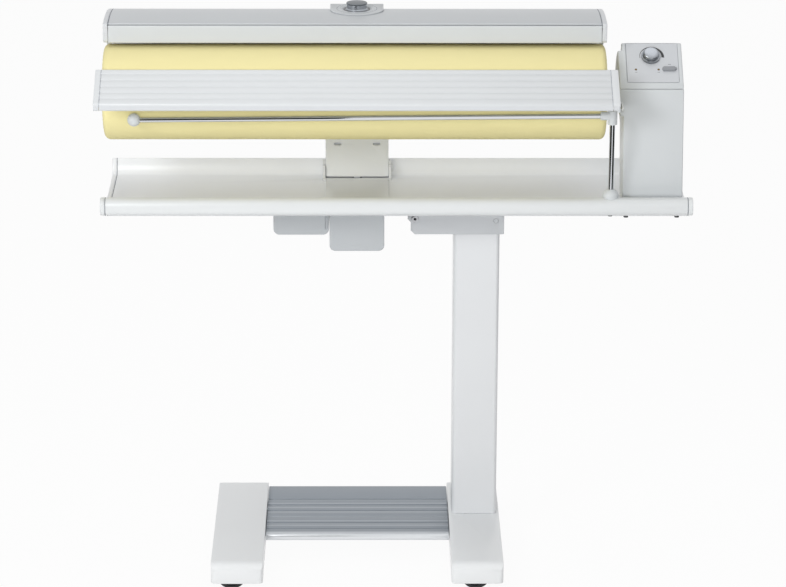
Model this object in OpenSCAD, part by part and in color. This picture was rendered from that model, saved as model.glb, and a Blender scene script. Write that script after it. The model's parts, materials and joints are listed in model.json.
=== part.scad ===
// Household flatwork ironer on a folding stand, in millimetres.
// Inside the modules X runs from the table's middle to the right, Y from the
// front of the feet to the back, and Z up from the floor. home() then moves
// the whole machine so that its origin is under the middle of its box.

/* [Feet] */
// Width of each foot
foot_w = 88; // [84:1:96]
// Length of each foot, front to back
foot_len = 380; // [370:1:400]
// Height of the top of the feet
foot_top = 58; // [57:0.5:62]
// Height of the open lower edge of the feet
foot_under = 22; // [18:0.5:24]
// Sheet thickness of the feet
foot_wall = 2.5; // [2:0.1:3]
// Radius of the upper front and rear edges of the feet
foot_round = 18; // [10:1:22]
// Distance between the middles of the two feet
foot_pitch = 408; // [400:1:416]
// Middle of the right foot, in X
foot_right_x = 138; // [134:1:142]

/* [Castors] */
// Radius of a castor wheel
wheel_r = 25; // [22:0.5:25.5]
// Width of one wheel of a twin castor
wheel_w = 10; // [8:0.5:11]
// Thickness of the web between the two wheels
castor_web = 12; // [11:0.5:14]
// Distance from the swivel axis to the wheel axle
castor_trail = 6; // [4:0.5:8]
// Distance from a foot's end to its castor's swivel axis
castor_inset = 45; // [42:1:60]
// Distance of a swivel axis outward from its foot's middle line
castor_out = 4; // [0:0.5:5]
// Radius of the swivel stem
stem_r = 4; // [3:0.25:4.5]
// Radius of the wheel axle
axle_r = 3; // [2.5:0.25:3.5]

/* [Pedal] */
// Height of the pedal's tread
pedal_top = 50; // [49:0.5:53]
// Thickness of the pedal's plate
pedal_t = 5; // [4:0.25:6]
// Distance of the pedal's front edge from the front of the feet
pedal_front = 150; // [140:1:156]
// Depth of the pedal, front to back
pedal_d = 218; // [210:1:224]
// Height of the pedal's pivot
pedal_pivot_z = 36; // [35:0.25:37]
// Radius of the pedal's pivot pins
pedal_pin_r = 4; // [3:0.25:4.5]
// Radius of the rounded front lip
pedal_lip_r = 7; // [5:0.25:8]
// Width of each groove in the tread
groove_w = 3; // [2:0.25:4]
// Number of grooves in the tread
groove_count = 5; // [3:1:8]

/* [Column and fold hinge] */
// Width of the column
col_w = 78; // [74:1:80]
// Depth of the column
col_d = 80; // [76:1:84]
// Sheet thickness of the column
col_wall = 2.5; // [2:0.1:4]
// Radius of the column's upright edges
col_round = 7; // [4:0.5:12]
// Middle of the column, in Y
col_y = 261; // [256:1:266]
// Height of the fold pin
pin_z = 603; // [600:1:620]
// Place of the fold pin, in X
pin_x = 32; // [30:0.5:36]
// Radius of the fold pin
pin_r = 5; // [4:0.25:6]
// Radius of the hole along the hollow fold pin
pin_bore_r = 2; // [1:0.25:2.5]
// Thickness of the hinge bracket's plates
bracket_t = 4; // [3:0.25:5]
// Depth of the bracket's underside below the fold pin
bracket_drop = 28; // [27:0.5:32]
// Height of the bracket's upper edge above the fold pin
bracket_rise = 18; // [14:0.5:19]
// Distance from the fold pin to the bracket's left edge
bracket_left = 7; // [6:0.5:8]
// Distance from the fold pin to the bracket's right edge
bracket_right = 152; // [150:1:156]
// Distance from the fold pin to the striker of the latch
striker_x = 118; // [114:1:120]
// Radius of the striker
striker_r = 5; // [4:0.25:6]

/* [Table] */
// Overall length of the table
table_len = 985; // [975:1:1000]
// Thickness of each end cap of the table
cap_t = 7.5; // [5:0.25:10]
// Distance of the table's front from the front of the feet
table_front = 97; // [92:1:100]
// Depth of the table, front to back
table_d = 285; // [283:1:290]
// Wall of the table's profile
table_t = 3; // [2.5:0.25:3.5]
// Distance from the fold pin up to the table's underside
table_rise = 25.5; // [25:0.5:27.5]
// Height of the rounded front rim
rim_h = 29.5; // [27:0.5:32]
// Depth of the rounded front rim
rim_d = 28; // [26:0.5:30]
// Height of the rim's lower edge above the table's floor
rim_lift = 11; // [9:0.5:13]
// Height of the rear rim above the table's floor
rear_rim_h = 30; // [28:0.5:33]

/* [Boxes under the table] */
// Width of the shoe drive's housing
drive_box_w = 93; // [90:1:100]
// Depth of the drive housing below the table
drive_box_h = 78.5; // [76:0.5:81]
// Width of the power unit
board_box_w = 94; // [80:1:110]
// Depth of the power unit below the table
board_box_h = 49.5; // [44:0.5:62]
// Distance from the front of the feet to the front of both boxes
box_front = 200; // [190:1:210]
// Depth of the shoe drive's housing, front to back
box_d = 176; // [175:1:180]
// Depth of the power unit, front to back
board_box_d = 108; // [90:1:110]
// Wall of the drive's housing
box_wall = 2; // [1.5:0.25:2.5]

/* [Console] */
// Width of the console
console_w = 100.5; // [98:0.5:104]
// Left face of the console, in X
console_x = 378; // [376:0.5:380]
// Wall of the console's casing
console_wall = 3; // [2:0.25:3.5]
// Front of the console at the table, in Y
console_front = 130.5; // [128:0.5:133]
// Depth of the console at the table
console_d = 73; // [70:1:80]
// Slope of the control panel from level, in degrees
panel_slope = 38; // [37:0.5:39]
// Length of the sloped panel face
panel_len = 87.5; // [86:0.1:89]
// Width of the inset panel plate
panel_w = 86; // [84:0.5:90]
// Radius of the round bearing end of the console
drum_end_r = 69; // [66:0.5:71]

/* [Roller] */
// Radius of the padded roller
roller_r = 80; // [79:0.25:80.5]
// Length of the roller
roller_len = 837; // [825:1:840]
// Gap between the roller's right end and the console
roller_gap = 29; // [28:0.5:31]
// Height of the roller's axis
roller_z = 828; // [826:0.5:830]
// Roller's axis, in Y
roller_y = 210; // [208:0.5:211]
// Thickness of the roller's cloth cover
cloth_t = 3; // [2:0.25:4]
// Thickness of the roller's padding
padding_t = 9; // [7:0.25:12]
// Radius of the roller shaft
shaft_r = 10; // [8:0.25:10.5]

/* [Ironing shoe] */
// Thickness of the heated shoe
shoe_t = 7; // [5:0.25:7.5]
// Swing that presses the shoe onto the roller, in degrees
shoe_swing = 2; // [1.5:0.1:2.2]
// Angle at which the shoe starts in front, from level, in degrees
shoe_front_angle = 95; // [92:0.5:96]
// Angle at which the shoe ends behind, from level, in degrees
shoe_rear_angle = -20; // [-24:0.5:-16]
// Thickness of the cover's wall
cover_t = 2.5; // [2:0.25:3]
// Radius of the cover's crowned top
crown_r = 400; // [390:5:420]
// Highest point of the cover above the floor
crown_z = 950.2; // [949.5:0.1:952]
// Highest line of the cover, in Y
crown_y = 245; // [244:0.5:247]
// Radius of the cover's rear shoulder
shoulder_r = 30; // [28:0.5:32]
// Height of the cover's rear lower edge
cover_low = 780; // [770:1:785]
// Length of each end cap of the cover
shoe_cap_t = 8; // [6:0.25:10]
// Front of the finger guard, in Y
guard_y = 197; // [195:0.5:198]
// Thickness of the finger guard
guard_t = 5; // [4:0.25:5.5]
// Height of the guard's lower edge
guard_low = 914.5; // [914:0.25:917]

/* [Support arm] */
// Width of the support arm
arm_w = 109; // [104:1:112]
// Thickness of the support arm
arm_t = 24; // [20:0.5:26]
// Middle of the arm, left of the table's middle
arm_x = 66.5; // [64:0.5:69]
// Height of the arm's pivot
arm_pivot_z = 649; // [648.5:0.5:651]
// Distance of the arm's pivot in front of the table's rear
arm_pivot_in = 20; // [19:0.5:20.5]
// Radius of the arm's pivot pin
arm_pin_r = 4; // [3:0.25:4.5]
// Radius of the round plate under the knob
knob_plate_r = 45; // [43:0.5:46]
// Radius of the pressure knob
knob_r = 18.5; // [15:0.5:19]
// Height of the pressure knob
knob_h = 11.5; // [8:0.5:14]

/* [Feed board] */
// Width of the feed board, along its slope
board_w = 83.3; // [80:0.1:86]
// Thickness of the feed board
board_t = 8; // [6:0.25:8.5]
// Slope of the feed board from level, in degrees
board_slope = 30; // [29:0.5:31]
// How far the feed board reaches past the roller's left end
board_over = 9; // [7:0.5:12]
// Gap between the feed board and the console
board_gap = 12.5; // [12:0.25:15]
// Length of the left end cap of the board
board_cap_l = 9; // [6:0.5:12]
// Length of the right end cap of the board
board_cap_r = 12; // [10:0.5:16]
// Upper front edge of the board, in Y
board_y = 70; // [69:0.5:71]
// Upper front edge of the board above the floor
board_z = 843.7; // [843:0.1:846]

/* [Laundry rail] */
// Radius of the rail's tubes
rail_r = 4.5; // [4:0.25:5]
// Distance from the rail's post to the console
post_gap = 22; // [21:0.25:22.5]
// Height of the rail at its elbow
rail_z = 812; // [810:0.5:816]
// Drop of the rail from the elbow to its free end
rail_drop = 7; // [4:0.5:8]
// Length of the rail from the post to its end ball
rail_len = 790; // [770:1:800]
// Radius of the ball on the rail's free end
ball_r = 11; // [9:0.5:12]
// Radius of the post's socket on the rim
socket_r = 13.5; // [12:0.25:14]
// Height of the post's socket above the rim
socket_h = 15; // [12:0.5:17]

/* [Controls] */
// Radius of the temperature dial
dial_r = 16; // [13:0.25:17]
// Height of the temperature dial above the panel
dial_h = 12; // [8:0.25:15]
// Length of the power button
button_l = 24; // [22:0.5:25]
// Width of the power button
button_w = 8; // [7:0.25:10]
// Travel of the power button
button_travel = 3; // [2:0.25:4]

/* [Drives] */
// Module of the roller's gears
gear_m = 1.5; // [1.4:0.05:1.55]
// Teeth on the roller's gear
gear_teeth = 28; // [27:1:28]
// Teeth on the motor's pinion
pinion_teeth = 12; // [11:1:13]
// Radius of the roller motor
motor_r = 20; // [17:0.5:20.5]
// Length of the roller motor
motor_len = 46; // [40:1:50]

/* [Hidden] */
// Overrun of every cut
cut_over = 1;
// Radial clearance of a running fit
fit_gap = 0.05;
// Clearance between moving bodies
run_gap = 0.3;
// Smoothness of round shapes
$fn = 64;

// Feet and castors
foot_left_x = foot_right_x - foot_pitch;
foot_in_l = foot_left_x + foot_w/2;
foot_in_r = foot_right_x - foot_w/2;
foot_corner = 8;
boss_r = 9;
collar_r = 8;
collar_h = 2;
stem_lift = 10;
stem_low = foot_under + stem_lift;
boss_drop = 2.5;
collar_top = foot_top - foot_wall - boss_drop;
hub_r = 9;
tyre_round = 2;
wheel_dish = 2;
castor_half = castor_web/2 + run_gap + wheel_w;
web_in = 4;
web_r = wheel_r - web_in;

// Fasteners
bolt_r = 4;
bolt_len = 12;
bolt_head_r = 6.5;
bolt_head_h = 5;
bolt_gap = 0.1;
screw_r = 2.4;
screw_len = 6;
screw_head_r = 4;
screw_head_h = 3.4;
screw_gap = 0.1;

// Cross beam and pedal
beam_d = 90;
beam_h = 14;
beam_wall = 2;
beam_block = 20;
beam_y = 250;
beam_bolt_y = 26;
pedal_gap = 1;
pedal_x0 = foot_in_l + pedal_gap;
pedal_x1 = foot_in_r - pedal_gap;
pedal_pivot_share = 0.766;
pedal_pivot_y = pedal_front + pedal_pivot_share*pedal_d;
tread_share_low = 0.11;
tread_share_high = 0.72;
groove_deep = 1.2;
pedal_boss_w = 10;
pedal_boss_r = 7.5;
spring_wire = 0.8;
spring_turns = 5;
spring_steps = 12;
spring_sides = 6;
spring_len = 10;
switch_w = 24;
switch_d = 10;
switch_h = 1.6;
switch_y_share = 0.6;

// Column and fold hinge
col_top = pin_z - bracket_drop;
col_base_t = 10;
col_cap_t = 6;
col_bolt_share = 0.32;
bracket_gap = 2;
bracket_in = col_d/2 + bracket_gap;
bracket_out = bracket_in + bracket_t;
leaf_t = 4;
leaf_inset = 6;
leaf_in = col_d/2 - leaf_inset;
leaf_screw_shares = [0.2, 0.6];
leaf_left = 12;
leaf_barrel_r = 10;
leaf_over = 6;
rivet_r = 6.5;
rivet_h = 2;
latch_reach = 20;
latch_x = striker_x + latch_reach;
latch_z = -4;
latch_r = 4;
latch_w = 12;
latch_nose = 9;
latch_hook = 5;
latch_tip = 1;
latch_grip = 48;
latch_grip_w = 16;
latch_grip_t = 6;

// Table
table_under = pin_z + table_rise;
floor_z = table_under + table_t;
rim_low = floor_z + rim_lift;
rim_top = rim_low + rim_h;
rim_front_r = 13;
rim_back_r = 5;
rim_top_r = 12;
rim_wall = 2.5;
tray_x = table_len/2 - cap_t;
table_rear = table_front + table_d;
arm_pivot_y = table_rear - arm_pivot_in;
// Table floor, as shares of the table's depth and of the rear rim's height
floor_shares = [[0.186, 0], [0.57, 0], [0.75, 0], [0.94, 0.1]];
// Underside in the same shares, flat over the hinge leaf's seat
low_shares = [[0.186, 0], [0.72, 0], [0.94, 0.1]];
// Height at which the floor meets the front rim
rim_share = 0.5;
rear_curve_steps = 8;
rear_lean = 10;

// Boxes below the table
drive_x0 = -arm_x - drive_box_w/2;
box_gap = 1;
board_x1 = drive_x0 - box_gap;
box_round = 10;
groove_box_w = 3;
slot_half = 8;

// Shoe drive
cam_ecc = 1.15;
cam_r = 14;
cam_w = 10;
cam_drop = 47;
cam_z = arm_pivot_z - cam_drop;
cam_start = 225;
cam_shaft_r = 3.5;
lever_w = 11;
lever_d = 14;
lever_low = 56;
lever_front = arm_pivot_y - lever_d/2;
cam_y = lever_front - run_gap - cam_r - cam_ecc*cos(cam_start);
gearmotor = [27, 38, 38];

// Arm and its base
lug_t = 4.5;
lug_r = 8;
lug_rise = 9;
base_t = 2.5;
base_d = 113;
base_strip = 8;
arm_pin_in = 10;
arm_front = arm_pivot_y - arm_pin_in;
arm_foot = 11.7;
arm_low = arm_pivot_z - arm_foot;
arm_toe = 3;
arm_toe_h = 15;
arm_heel = 6;
base_rear = arm_front - 2*arm_toe;
arm_high = 928;
arm_nose_w = 66;
arm_nose_low = 848;
arm_nose_high = 892;
window_gap = 1;
knob_plate_h = 1.5;
knob_back = 43;
knob_y = crown_y + knob_back;
spindle_r = 4;
arm_slot_x = 33.4;
arm_slot_w = 12;
arm_slot_h = 4.5;
arm_slot_z = 693;
plate_cut_share = 0.73;
plate_dish = 1.2;
plate_dish_w = 6;

// Roller
roller_x1 = console_x - roller_gap;
roller_x0 = roller_x1 - roller_len;
roller_round = 10;
core_r = roller_r - cloth_t - padding_t - 2*fit_gap;
core_t = 3;
disc_t = 4;
core_inset = 6;
hem_r = 34;

// Shoe, placed so that its bore meets the roller when pressed on
press_gap = 0.4;
bore_r = roller_r + press_gap;
dy = roller_y - arm_pivot_y;
dz = roller_z - arm_pivot_z;
bore_y = arm_pivot_y + dy*cos(shoe_swing) + dz*sin(shoe_swing);
bore_z = arm_pivot_z - dy*sin(shoe_swing) + dz*cos(shoe_swing);
shoe_x0 = roller_x0;
shoe_over = 1;
shoe_x1 = roller_x1 + shoe_over;
shoe_body_x0 = shoe_x0 + shoe_cap_t;
shoe_body_x1 = shoe_x1 - shoe_cap_t;
heater_r = 4;
heater_angles = [0, 60];
heater_inset = 14;
crown_end = 11.1;
crown_z_centre = crown_z - crown_r;
shoulder_y = crown_y + (crown_r - shoulder_r)*sin(crown_end);
shoulder_z = crown_z_centre + (crown_r - shoulder_r)*cos(crown_end);
cover_rear = shoulder_y + shoulder_r;
cover_foot_r = 20;
cap_gap = 0.1;
cap_clear = 3;
cover_lip = 2;
guard_high = crown_z_centre + sqrt(pow(crown_r, 2) - pow(crown_y - guard_y, 2));
guard_pin_r = 1.5;
guard_pin_len = 4;
cap_corner = 4;

// Console
console_x1 = console_x + console_w;
boss_out = 7;
boss_cut = 30;
seam_rise = 14;
seam_z = roller_z + seam_rise;
front_lean = 0.2;
rear_lean_share = 0.25;
panel_fore = 29;
panel_y = roller_y - panel_fore;
panel_rise = 21.5;
panel_z = roller_z + panel_rise;
panel_c = cos(panel_slope);
panel_s = sin(panel_slope);
top_round = 5;
head_gap = 0.2;
panel_t = 2;
panel_margin = 3.2;
window_in = 2;
dial_in = 48;
dial_x = console_x + dial_in;
dial_s = 57;
button_in = 78.5;
button_x = console_x + button_in;
button_s = 30;
lens_in = [22, 60];
lens_x = [for (x = lens_in) console_x + x];
lens_s = 29.8;
lens_r = 2;
pcb_t = 1.6;
pcb_depth = 16;
pcb_l = 58;
pcb_s = 12;
pcb_gap = 4;
pcb_end = 6;
pot_r = 6;
post_inset = 4;
standoff_r = 2.5;
dial_taper = 4;
dial_rim = 3;
dial_edge = 2;
button_proud = 1;

// Drive inside the console
plate_t = 4;
plate_in = 9;
plate_a = console_x + plate_in;
frame_gap = 1;
frame_front_in = 20.5;
frame_front = console_front + frame_front_in;
frame_rear = console_front + console_d - console_wall - frame_gap;
frame_screw_in = 3.5;
hole_over = 2;
bearing_w = 10;
bearing_r = 15;
hub_w = 10;
hub_out = 3;
gear_w = 8;
gear_gap = 2.5;
gear_x = plate_a + hub_w + gear_gap;
plate_b = gear_x + gear_w + gear_gap;
shaft_over = 1;
shaft_end = plate_b + hub_w + shaft_over;
pinion_angle = 12;
centre_dist = gear_m*(gear_teeth + pinion_teeth)/2;
pinion_y = roller_y - centre_dist*sin(pinion_angle);
pinion_z = roller_z - centre_dist*cos(pinion_angle);
pinion_shaft_r = 3;
motor_gap = 4;
motor_x = plate_b + hub_w + motor_gap;
tooth_thin = 0.4;
pressure_angle = 20;
root_depth = 1.25;
tip_height = 0.8;
frame_base_t = 4;

// Feed board
board_c = cos(board_slope);
board_s = sin(board_slope);
board_left = board_over - roller_x0;
board_right = console_x - board_gap;
hinge_in = 9;
hinge_y = board_y + hinge_in;
hinge_drop = 11;
hinge_z = board_z - hinge_drop;
barrel_w = 5;
barrel_wall = 1;
hinge_r = 4.5;
hinge_pin_r = 2.5;
bracket_w = 3;
bracket_h = 8;
pad_r = 9;
pad_fore = 26;
pad_y = roller_y - pad_fore;
pad_drop = 14;
pad_z = roller_z - pad_drop;
rest_back = 17;
rest_y = hinge_y + rest_back;
rest_w = 8;
rest_h = 6;
rest_z = board_z + (rest_y - board_y)*tan(board_slope) - board_t/board_c - run_gap;
board_groove_shares = [0.18, 0.34, 0.51, 0.68, 0.85];
board_groove_w = 2;
board_groove_d = 0.6;

// Laundry rail
post_x = console_x - post_gap;
post_back = 20;
post_y = table_front + post_back;
post_in = 10;
elbow_r = 8;
elbow_h = 24;
elbow_share = 0.6;
elbow_l = 20;
elbow_step = 1;
tube_gap = 1;
socket_stem_r = 5.25;
socket_skirt = 3;

// Cord inlet
gland_in = 74;
gland_x = console_x + gland_in;
gland_back = 56.5;
gland_y = console_front + gland_back;
gland_r = 6;
gland_flange = 10;
gland_h = 8;

// Box of the whole machine, to find its middle
box_x = (table_len/2 - board_left)/2;
box_y = max(foot_len, table_rear)/2;

module home() { translate([-box_x, -box_y, 0]) children(); }

// Extrudes an outline drawn in depth and height along the machine's length
module along(x0, x1) {
    translate([x0, 0, 0]) rotate([90, 0, 90]) linear_extrude(x1 - x0) children();
}
module rod_x(x0, x1, y, z, r) {
    translate([x0, y, z]) rotate([0, 90, 0]) cylinder(r = r, h = x1 - x0);
}
module rod_y(y0, y1, x, z, r) {
    translate([x, y0, z]) rotate([-90, 0, 0]) cylinder(r = r, h = y1 - y0);
}
module block(x0, x1, y0, y1, z0, z1) {
    translate([x0, y0, z0]) cube([x1 - x0, y1 - y0, z1 - z0]);
}
module rounded(w, d, r) {
    square([w, d - 2*r], center = true);
    square([w - 2*r, d], center = true);
    for (i = [-1, 1], j = [-1, 1]) translate([i*(w/2 - r), j*(d/2 - r)]) circle(r);
}
function arc(y, z, r, a0, a1, n) = [for (i = [0:n]) [y + r*cos(a0 + (a1 - a0)*i/n),
    z + r*sin(a0 + (a1 - a0)*i/n)]];
function reversed(p) = [for (i = [len(p) - 1:-1:0]) p[i]];

// Fasteners, with their heads at the origin and their shanks along +Z
module bolt() {
    translate([0, 0, -bolt_head_h]) cylinder(r = bolt_head_r, h = bolt_head_h, $fn = 6);
    cylinder(r = bolt_r, h = bolt_len);
}
module bolt_hole() {
    translate([0, 0, -cut_over]) cylinder(r = bolt_r + bolt_gap, h = bolt_len + 2*cut_over);
}
module screw() {
    translate([0, 0, -screw_head_h]) cylinder(r = screw_head_r, h = screw_head_h);
    cylinder(r = screw_r, h = screw_len);
}
module screw_hole() {
    translate([0, 0, -cut_over]) cylinder(r = screw_r + screw_gap,
        h = screw_len + screw_gap + cut_over);
}
module at_beam_bolts(side) {
    x = side < 0 ? foot_in_l - foot_wall : foot_in_r + foot_wall;
    for (j = [-1, 1]) translate([x, beam_y + j*beam_bolt_y, foot_under + beam_h/2])
        rotate([0, -side*90, 0]) children();
}
module at_column_bolts() {
    for (i = [-1, 1], j = [-1, 1])
        translate([foot_right_x + i*col_bolt_share*col_w, col_y + j*col_bolt_share*col_d,
            foot_top - foot_wall]) children();
}
module at_bracket_bolts() {
    for (i = [-1, 1]) translate([foot_right_x + i*col_bolt_share*col_w, col_y,
        col_top + bracket_t]) rotate([180, 0, 0]) children();
}
module stand_bolts() {
    color("gray") home() {
        at_beam_bolts(-1) bolt();
        at_beam_bolts(1) bolt();
        at_column_bolts() bolt();
        at_bracket_bolts() bolt();
    }
}

// Feet: rounded channels, open below, with a boss and a stem for each castor
module foot_side(inset) {
    r = foot_round - inset;
    z1 = foot_top - inset;
    y0 = inset;
    y1 = foot_len - inset;
    low = inset > 0 ? foot_under - cut_over : foot_under;
    polygon([[y0, low], [y1, low], [y1, z1 - r], [y0, z1 - r]]);
    polygon([[y0 + r, low], [y1 - r, low], [y1 - r, z1], [y0 + r, z1]]);
    translate([y0 + r, z1 - r]) circle(r);
    translate([y1 - r, z1 - r]) circle(r);
}
module foot_solid(x, inset) {
    w = foot_w/2 - inset;
    intersection() {
        along(x - w, x + w) foot_side(inset);
        translate([x, foot_len/2, 0]) linear_extrude(foot_top + cut_over)
            rounded(foot_w - 2*inset, foot_len - 2*inset, foot_corner - inset);
    }
}
function castor_x(side) = side < 0 ? foot_left_x - castor_out : foot_right_x + castor_out;
function castor_y(row) = row < 0 ? castor_inset : foot_len - castor_inset;
module foot(x, side) {
    difference() {
        foot_solid(x, 0);
        foot_solid(x, foot_wall);
        pin_bore = side < 0 ? foot_in_l - foot_wall : foot_in_r;
        rod_x(pin_bore - cut_over, pin_bore + foot_wall + cut_over, pedal_pivot_y,
            pedal_pivot_z, pedal_pin_r + bolt_gap);
        at_beam_bolts(side) bolt_hole();
        if (side > 0) at_column_bolts() bolt_hole();
    }
    for (row = [-1, 1]) translate([castor_x(side), castor_y(row), 0]) {
        translate([0, 0, collar_top + run_gap])
            cylinder(r = boss_r, h = foot_top - foot_wall/2 - collar_top - run_gap);
        translate([0, 0, stem_low]) cylinder(r = stem_r, h = foot_top - foot_wall/2 - stem_low);
    }
}
module foot_left() { color("white") home() foot(foot_left_x, -1); }
module foot_right() { color("white") home() foot(foot_right_x, 1); }

// Twin-wheel castors: a web with a collar turns on the stem
module castor_yoke(side, row) {
    color("dimgray") home() translate([castor_x(side), castor_y(row), 0]) {
        difference() {
            union() {
                intersection() {
                    translate([-castor_trail, 0, wheel_r]) rotate([90, 0, 0])
                        translate([0, 0, -castor_web/2]) cylinder(r = web_r, h = castor_web);
                    block(-2*wheel_r, 2*wheel_r, -castor_web, castor_web, wheel_r/2, 2*wheel_r);
                }
                translate([0, 0, wheel_r]) cylinder(r = castor_web/2, h = collar_top - wheel_r);
                translate([0, 0, collar_top - collar_h]) cylinder(r = collar_r, h = collar_h);
            }
            translate([0, 0, stem_low - run_gap])
                cylinder(r = stem_r + fit_gap, h = foot_top);
        }
        rod_y(-castor_half, castor_half, -castor_trail, wheel_r, axle_r);
    }
}
module castor_wheels(side, row) {
    color("black") home() translate([castor_x(side) - castor_trail, castor_y(row), wheel_r])
        for (s = [-1, 1]) rotate([s*90, 0, 0])
            translate([0, 0, castor_web/2 + run_gap]) difference() {
                rotate_extrude() difference() {
                    union() {
                        translate([axle_r + fit_gap, 0]) square([hub_r, wheel_w]);
                        translate([hub_r, 0]) square([wheel_r - hub_r - tyre_round, wheel_w]);
                        translate([hub_r, tyre_round])
                            square([wheel_r - hub_r, wheel_w - 2*tyre_round]);
                        for (j = [tyre_round, wheel_w - tyre_round])
                            translate([wheel_r - tyre_round, j]) circle(tyre_round);
                    }
                    translate([hub_r + tyre_round, wheel_w - wheel_dish])
                        square([wheel_r - hub_r - 4*tyre_round, wheel_dish + cut_over]);
                }
            }
}
module castor_yoke_fl() { castor_yoke(-1, -1); }
module castor_yoke_fr() { castor_yoke(1, -1); }
module castor_yoke_rl() { castor_yoke(-1, 1); }
module castor_yoke_rr() { castor_yoke(1, 1); }
module castor_wheels_fl() { castor_wheels(-1, -1); }
module castor_wheels_fr() { castor_wheels(1, -1); }
module castor_wheels_rl() { castor_wheels(-1, 1); }
module castor_wheels_rr() { castor_wheels(1, 1); }

// Beam that joins the feet below the pedal
module cross_beam() {
    z1 = foot_under + beam_h;
    color("lightgray") home() difference() {
        block(foot_in_l, foot_in_r, beam_y - beam_d/2, beam_y + beam_d/2, foot_under, z1);
        block(foot_in_l + beam_block, foot_in_r - beam_block, beam_y - beam_d/2 + beam_wall,
            beam_y + beam_d/2 - beam_wall, foot_under + beam_wall, z1 - beam_wall);
        at_beam_bolts(-1) bolt_hole();
        at_beam_bolts(1) bolt_hole();
    }
}

// Pedal: a profile with a ribbed tread and a rounded lip, and two pivot bosses
module pedal_outline() {
    rear = pedal_front + pedal_d;
    low = pedal_top - pedal_t;
    difference() {
        union() {
            polygon([[pedal_front + pedal_lip_r, low], [rear, low], [rear, pedal_top],
                [pedal_front + pedal_lip_r, pedal_top]]);
            translate([pedal_front + pedal_lip_r, pedal_top - pedal_lip_r]) circle(pedal_lip_r);
        }
        for (i = [0:groove_count])
            translate([pedal_front + pedal_d*(tread_share_low
                + (tread_share_high - tread_share_low)*i/groove_count) - groove_w/2,
                pedal_top - groove_deep]) square([groove_w, groove_deep + cut_over]);
    }
}
module pedal() {
    color("slategray") home() difference() {
        union() {
            along(pedal_x0, pedal_x1) pedal_outline();
            for (x = [pedal_x0, pedal_x1 - pedal_boss_w]) {
                rod_x(x, x + pedal_boss_w, pedal_pivot_y, pedal_pivot_z, pedal_boss_r);
                block(x, x + pedal_boss_w, pedal_pivot_y - pedal_boss_r,
                    pedal_pivot_y + pedal_boss_r, pedal_pivot_z, pedal_top - pedal_t/2);
            }
        }
        rod_x(pedal_x0 - cut_over, pedal_x1 + cut_over, pedal_pivot_y, pedal_pivot_z,
            pedal_pin_r + fit_gap);
    }
}
module pedal_pins() {
    reach = pedal_gap + pedal_boss_w + spring_len + pedal_gap;
    color("silver") home() {
        rod_x(foot_in_l - foot_wall, foot_in_l + reach, pedal_pivot_y, pedal_pivot_z,
            pedal_pin_r);
        rod_x(foot_in_l - foot_wall - rivet_h, foot_in_l - foot_wall, pedal_pivot_y,
            pedal_pivot_z, rivet_r);
        rod_x(foot_in_r - reach, foot_in_r + foot_wall, pedal_pivot_y, pedal_pivot_z,
            pedal_pin_r);
        rod_x(foot_in_r + foot_wall, foot_in_r + foot_wall + rivet_h, pedal_pivot_y,
            pedal_pivot_z, rivet_r);
    }
}
// Return springs: wire coils round the pivot pins
function coil_point(t, s, len, turns, r, wire) = let (a = 360*turns*t, b = 360*s)
    [len*t + wire*sin(b), (r + wire*cos(b))*cos(a), (r + wire*cos(b))*sin(a)];
module coil(len, turns, r, wire) {
    n = turns*spring_steps;
    k = spring_sides;
    points = [for (i = [0:n], j = [0:k - 1]) coil_point(i/n, j/k, len, turns, r, wire)];
    sides = [for (i = [0:n - 1], j = [0:k - 1], h = [0, 1]) h == 0
        ? [i*k + j, (i + 1)*k + (j + 1)%k, i*k + (j + 1)%k]
        : [i*k + j, (i + 1)*k + j, (i + 1)*k + (j + 1)%k]];
    ends = [for (j = [1:k - 2]) [0, j, j + 1]];
    ends_far = [for (j = [1:k - 2]) [n*k, n*k + j + 1, n*k + j]];
    polyhedron(points, concat(sides, ends, ends_far));
}
module pedal_springs() {
    r = pedal_pin_r + spring_wire + run_gap;
    x0 = foot_in_l + pedal_gap + pedal_boss_w + spring_wire + run_gap;
    x1 = foot_in_r - pedal_gap - pedal_boss_w - spring_len + spring_wire - run_gap;
    color("silver") home() for (x = [x0, x1]) translate([x, pedal_pivot_y, pedal_pivot_z])
        coil(spring_len - 2*spring_wire, spring_turns, r, spring_wire);
}
// Flat switch on the beam, which the pedal works
module pedal_switch() {
    y = beam_y - beam_d/2 + switch_y_share*beam_d;
    x = (foot_in_l + foot_in_r)/2;
    color("black") home() block(x - switch_w/2, x + switch_w/2, y - switch_d/2,
        y + switch_d/2, foot_under + beam_h, foot_under + beam_h + switch_h);
}

// Column: a rounded tube with a base and a top plate
module column() {
    color("white") home() difference() {
        translate([foot_right_x, col_y, foot_top]) linear_extrude(col_top - foot_top)
            rounded(col_w, col_d, col_round);
        translate([foot_right_x, col_y, foot_top + col_base_t])
            linear_extrude(col_top - foot_top - col_base_t - col_cap_t)
            rounded(col_w - 2*col_wall, col_d - 2*col_wall, col_round - col_wall);
        at_column_bolts() bolt_hole();
        at_bracket_bolts() bolt_hole();
    }
}

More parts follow.
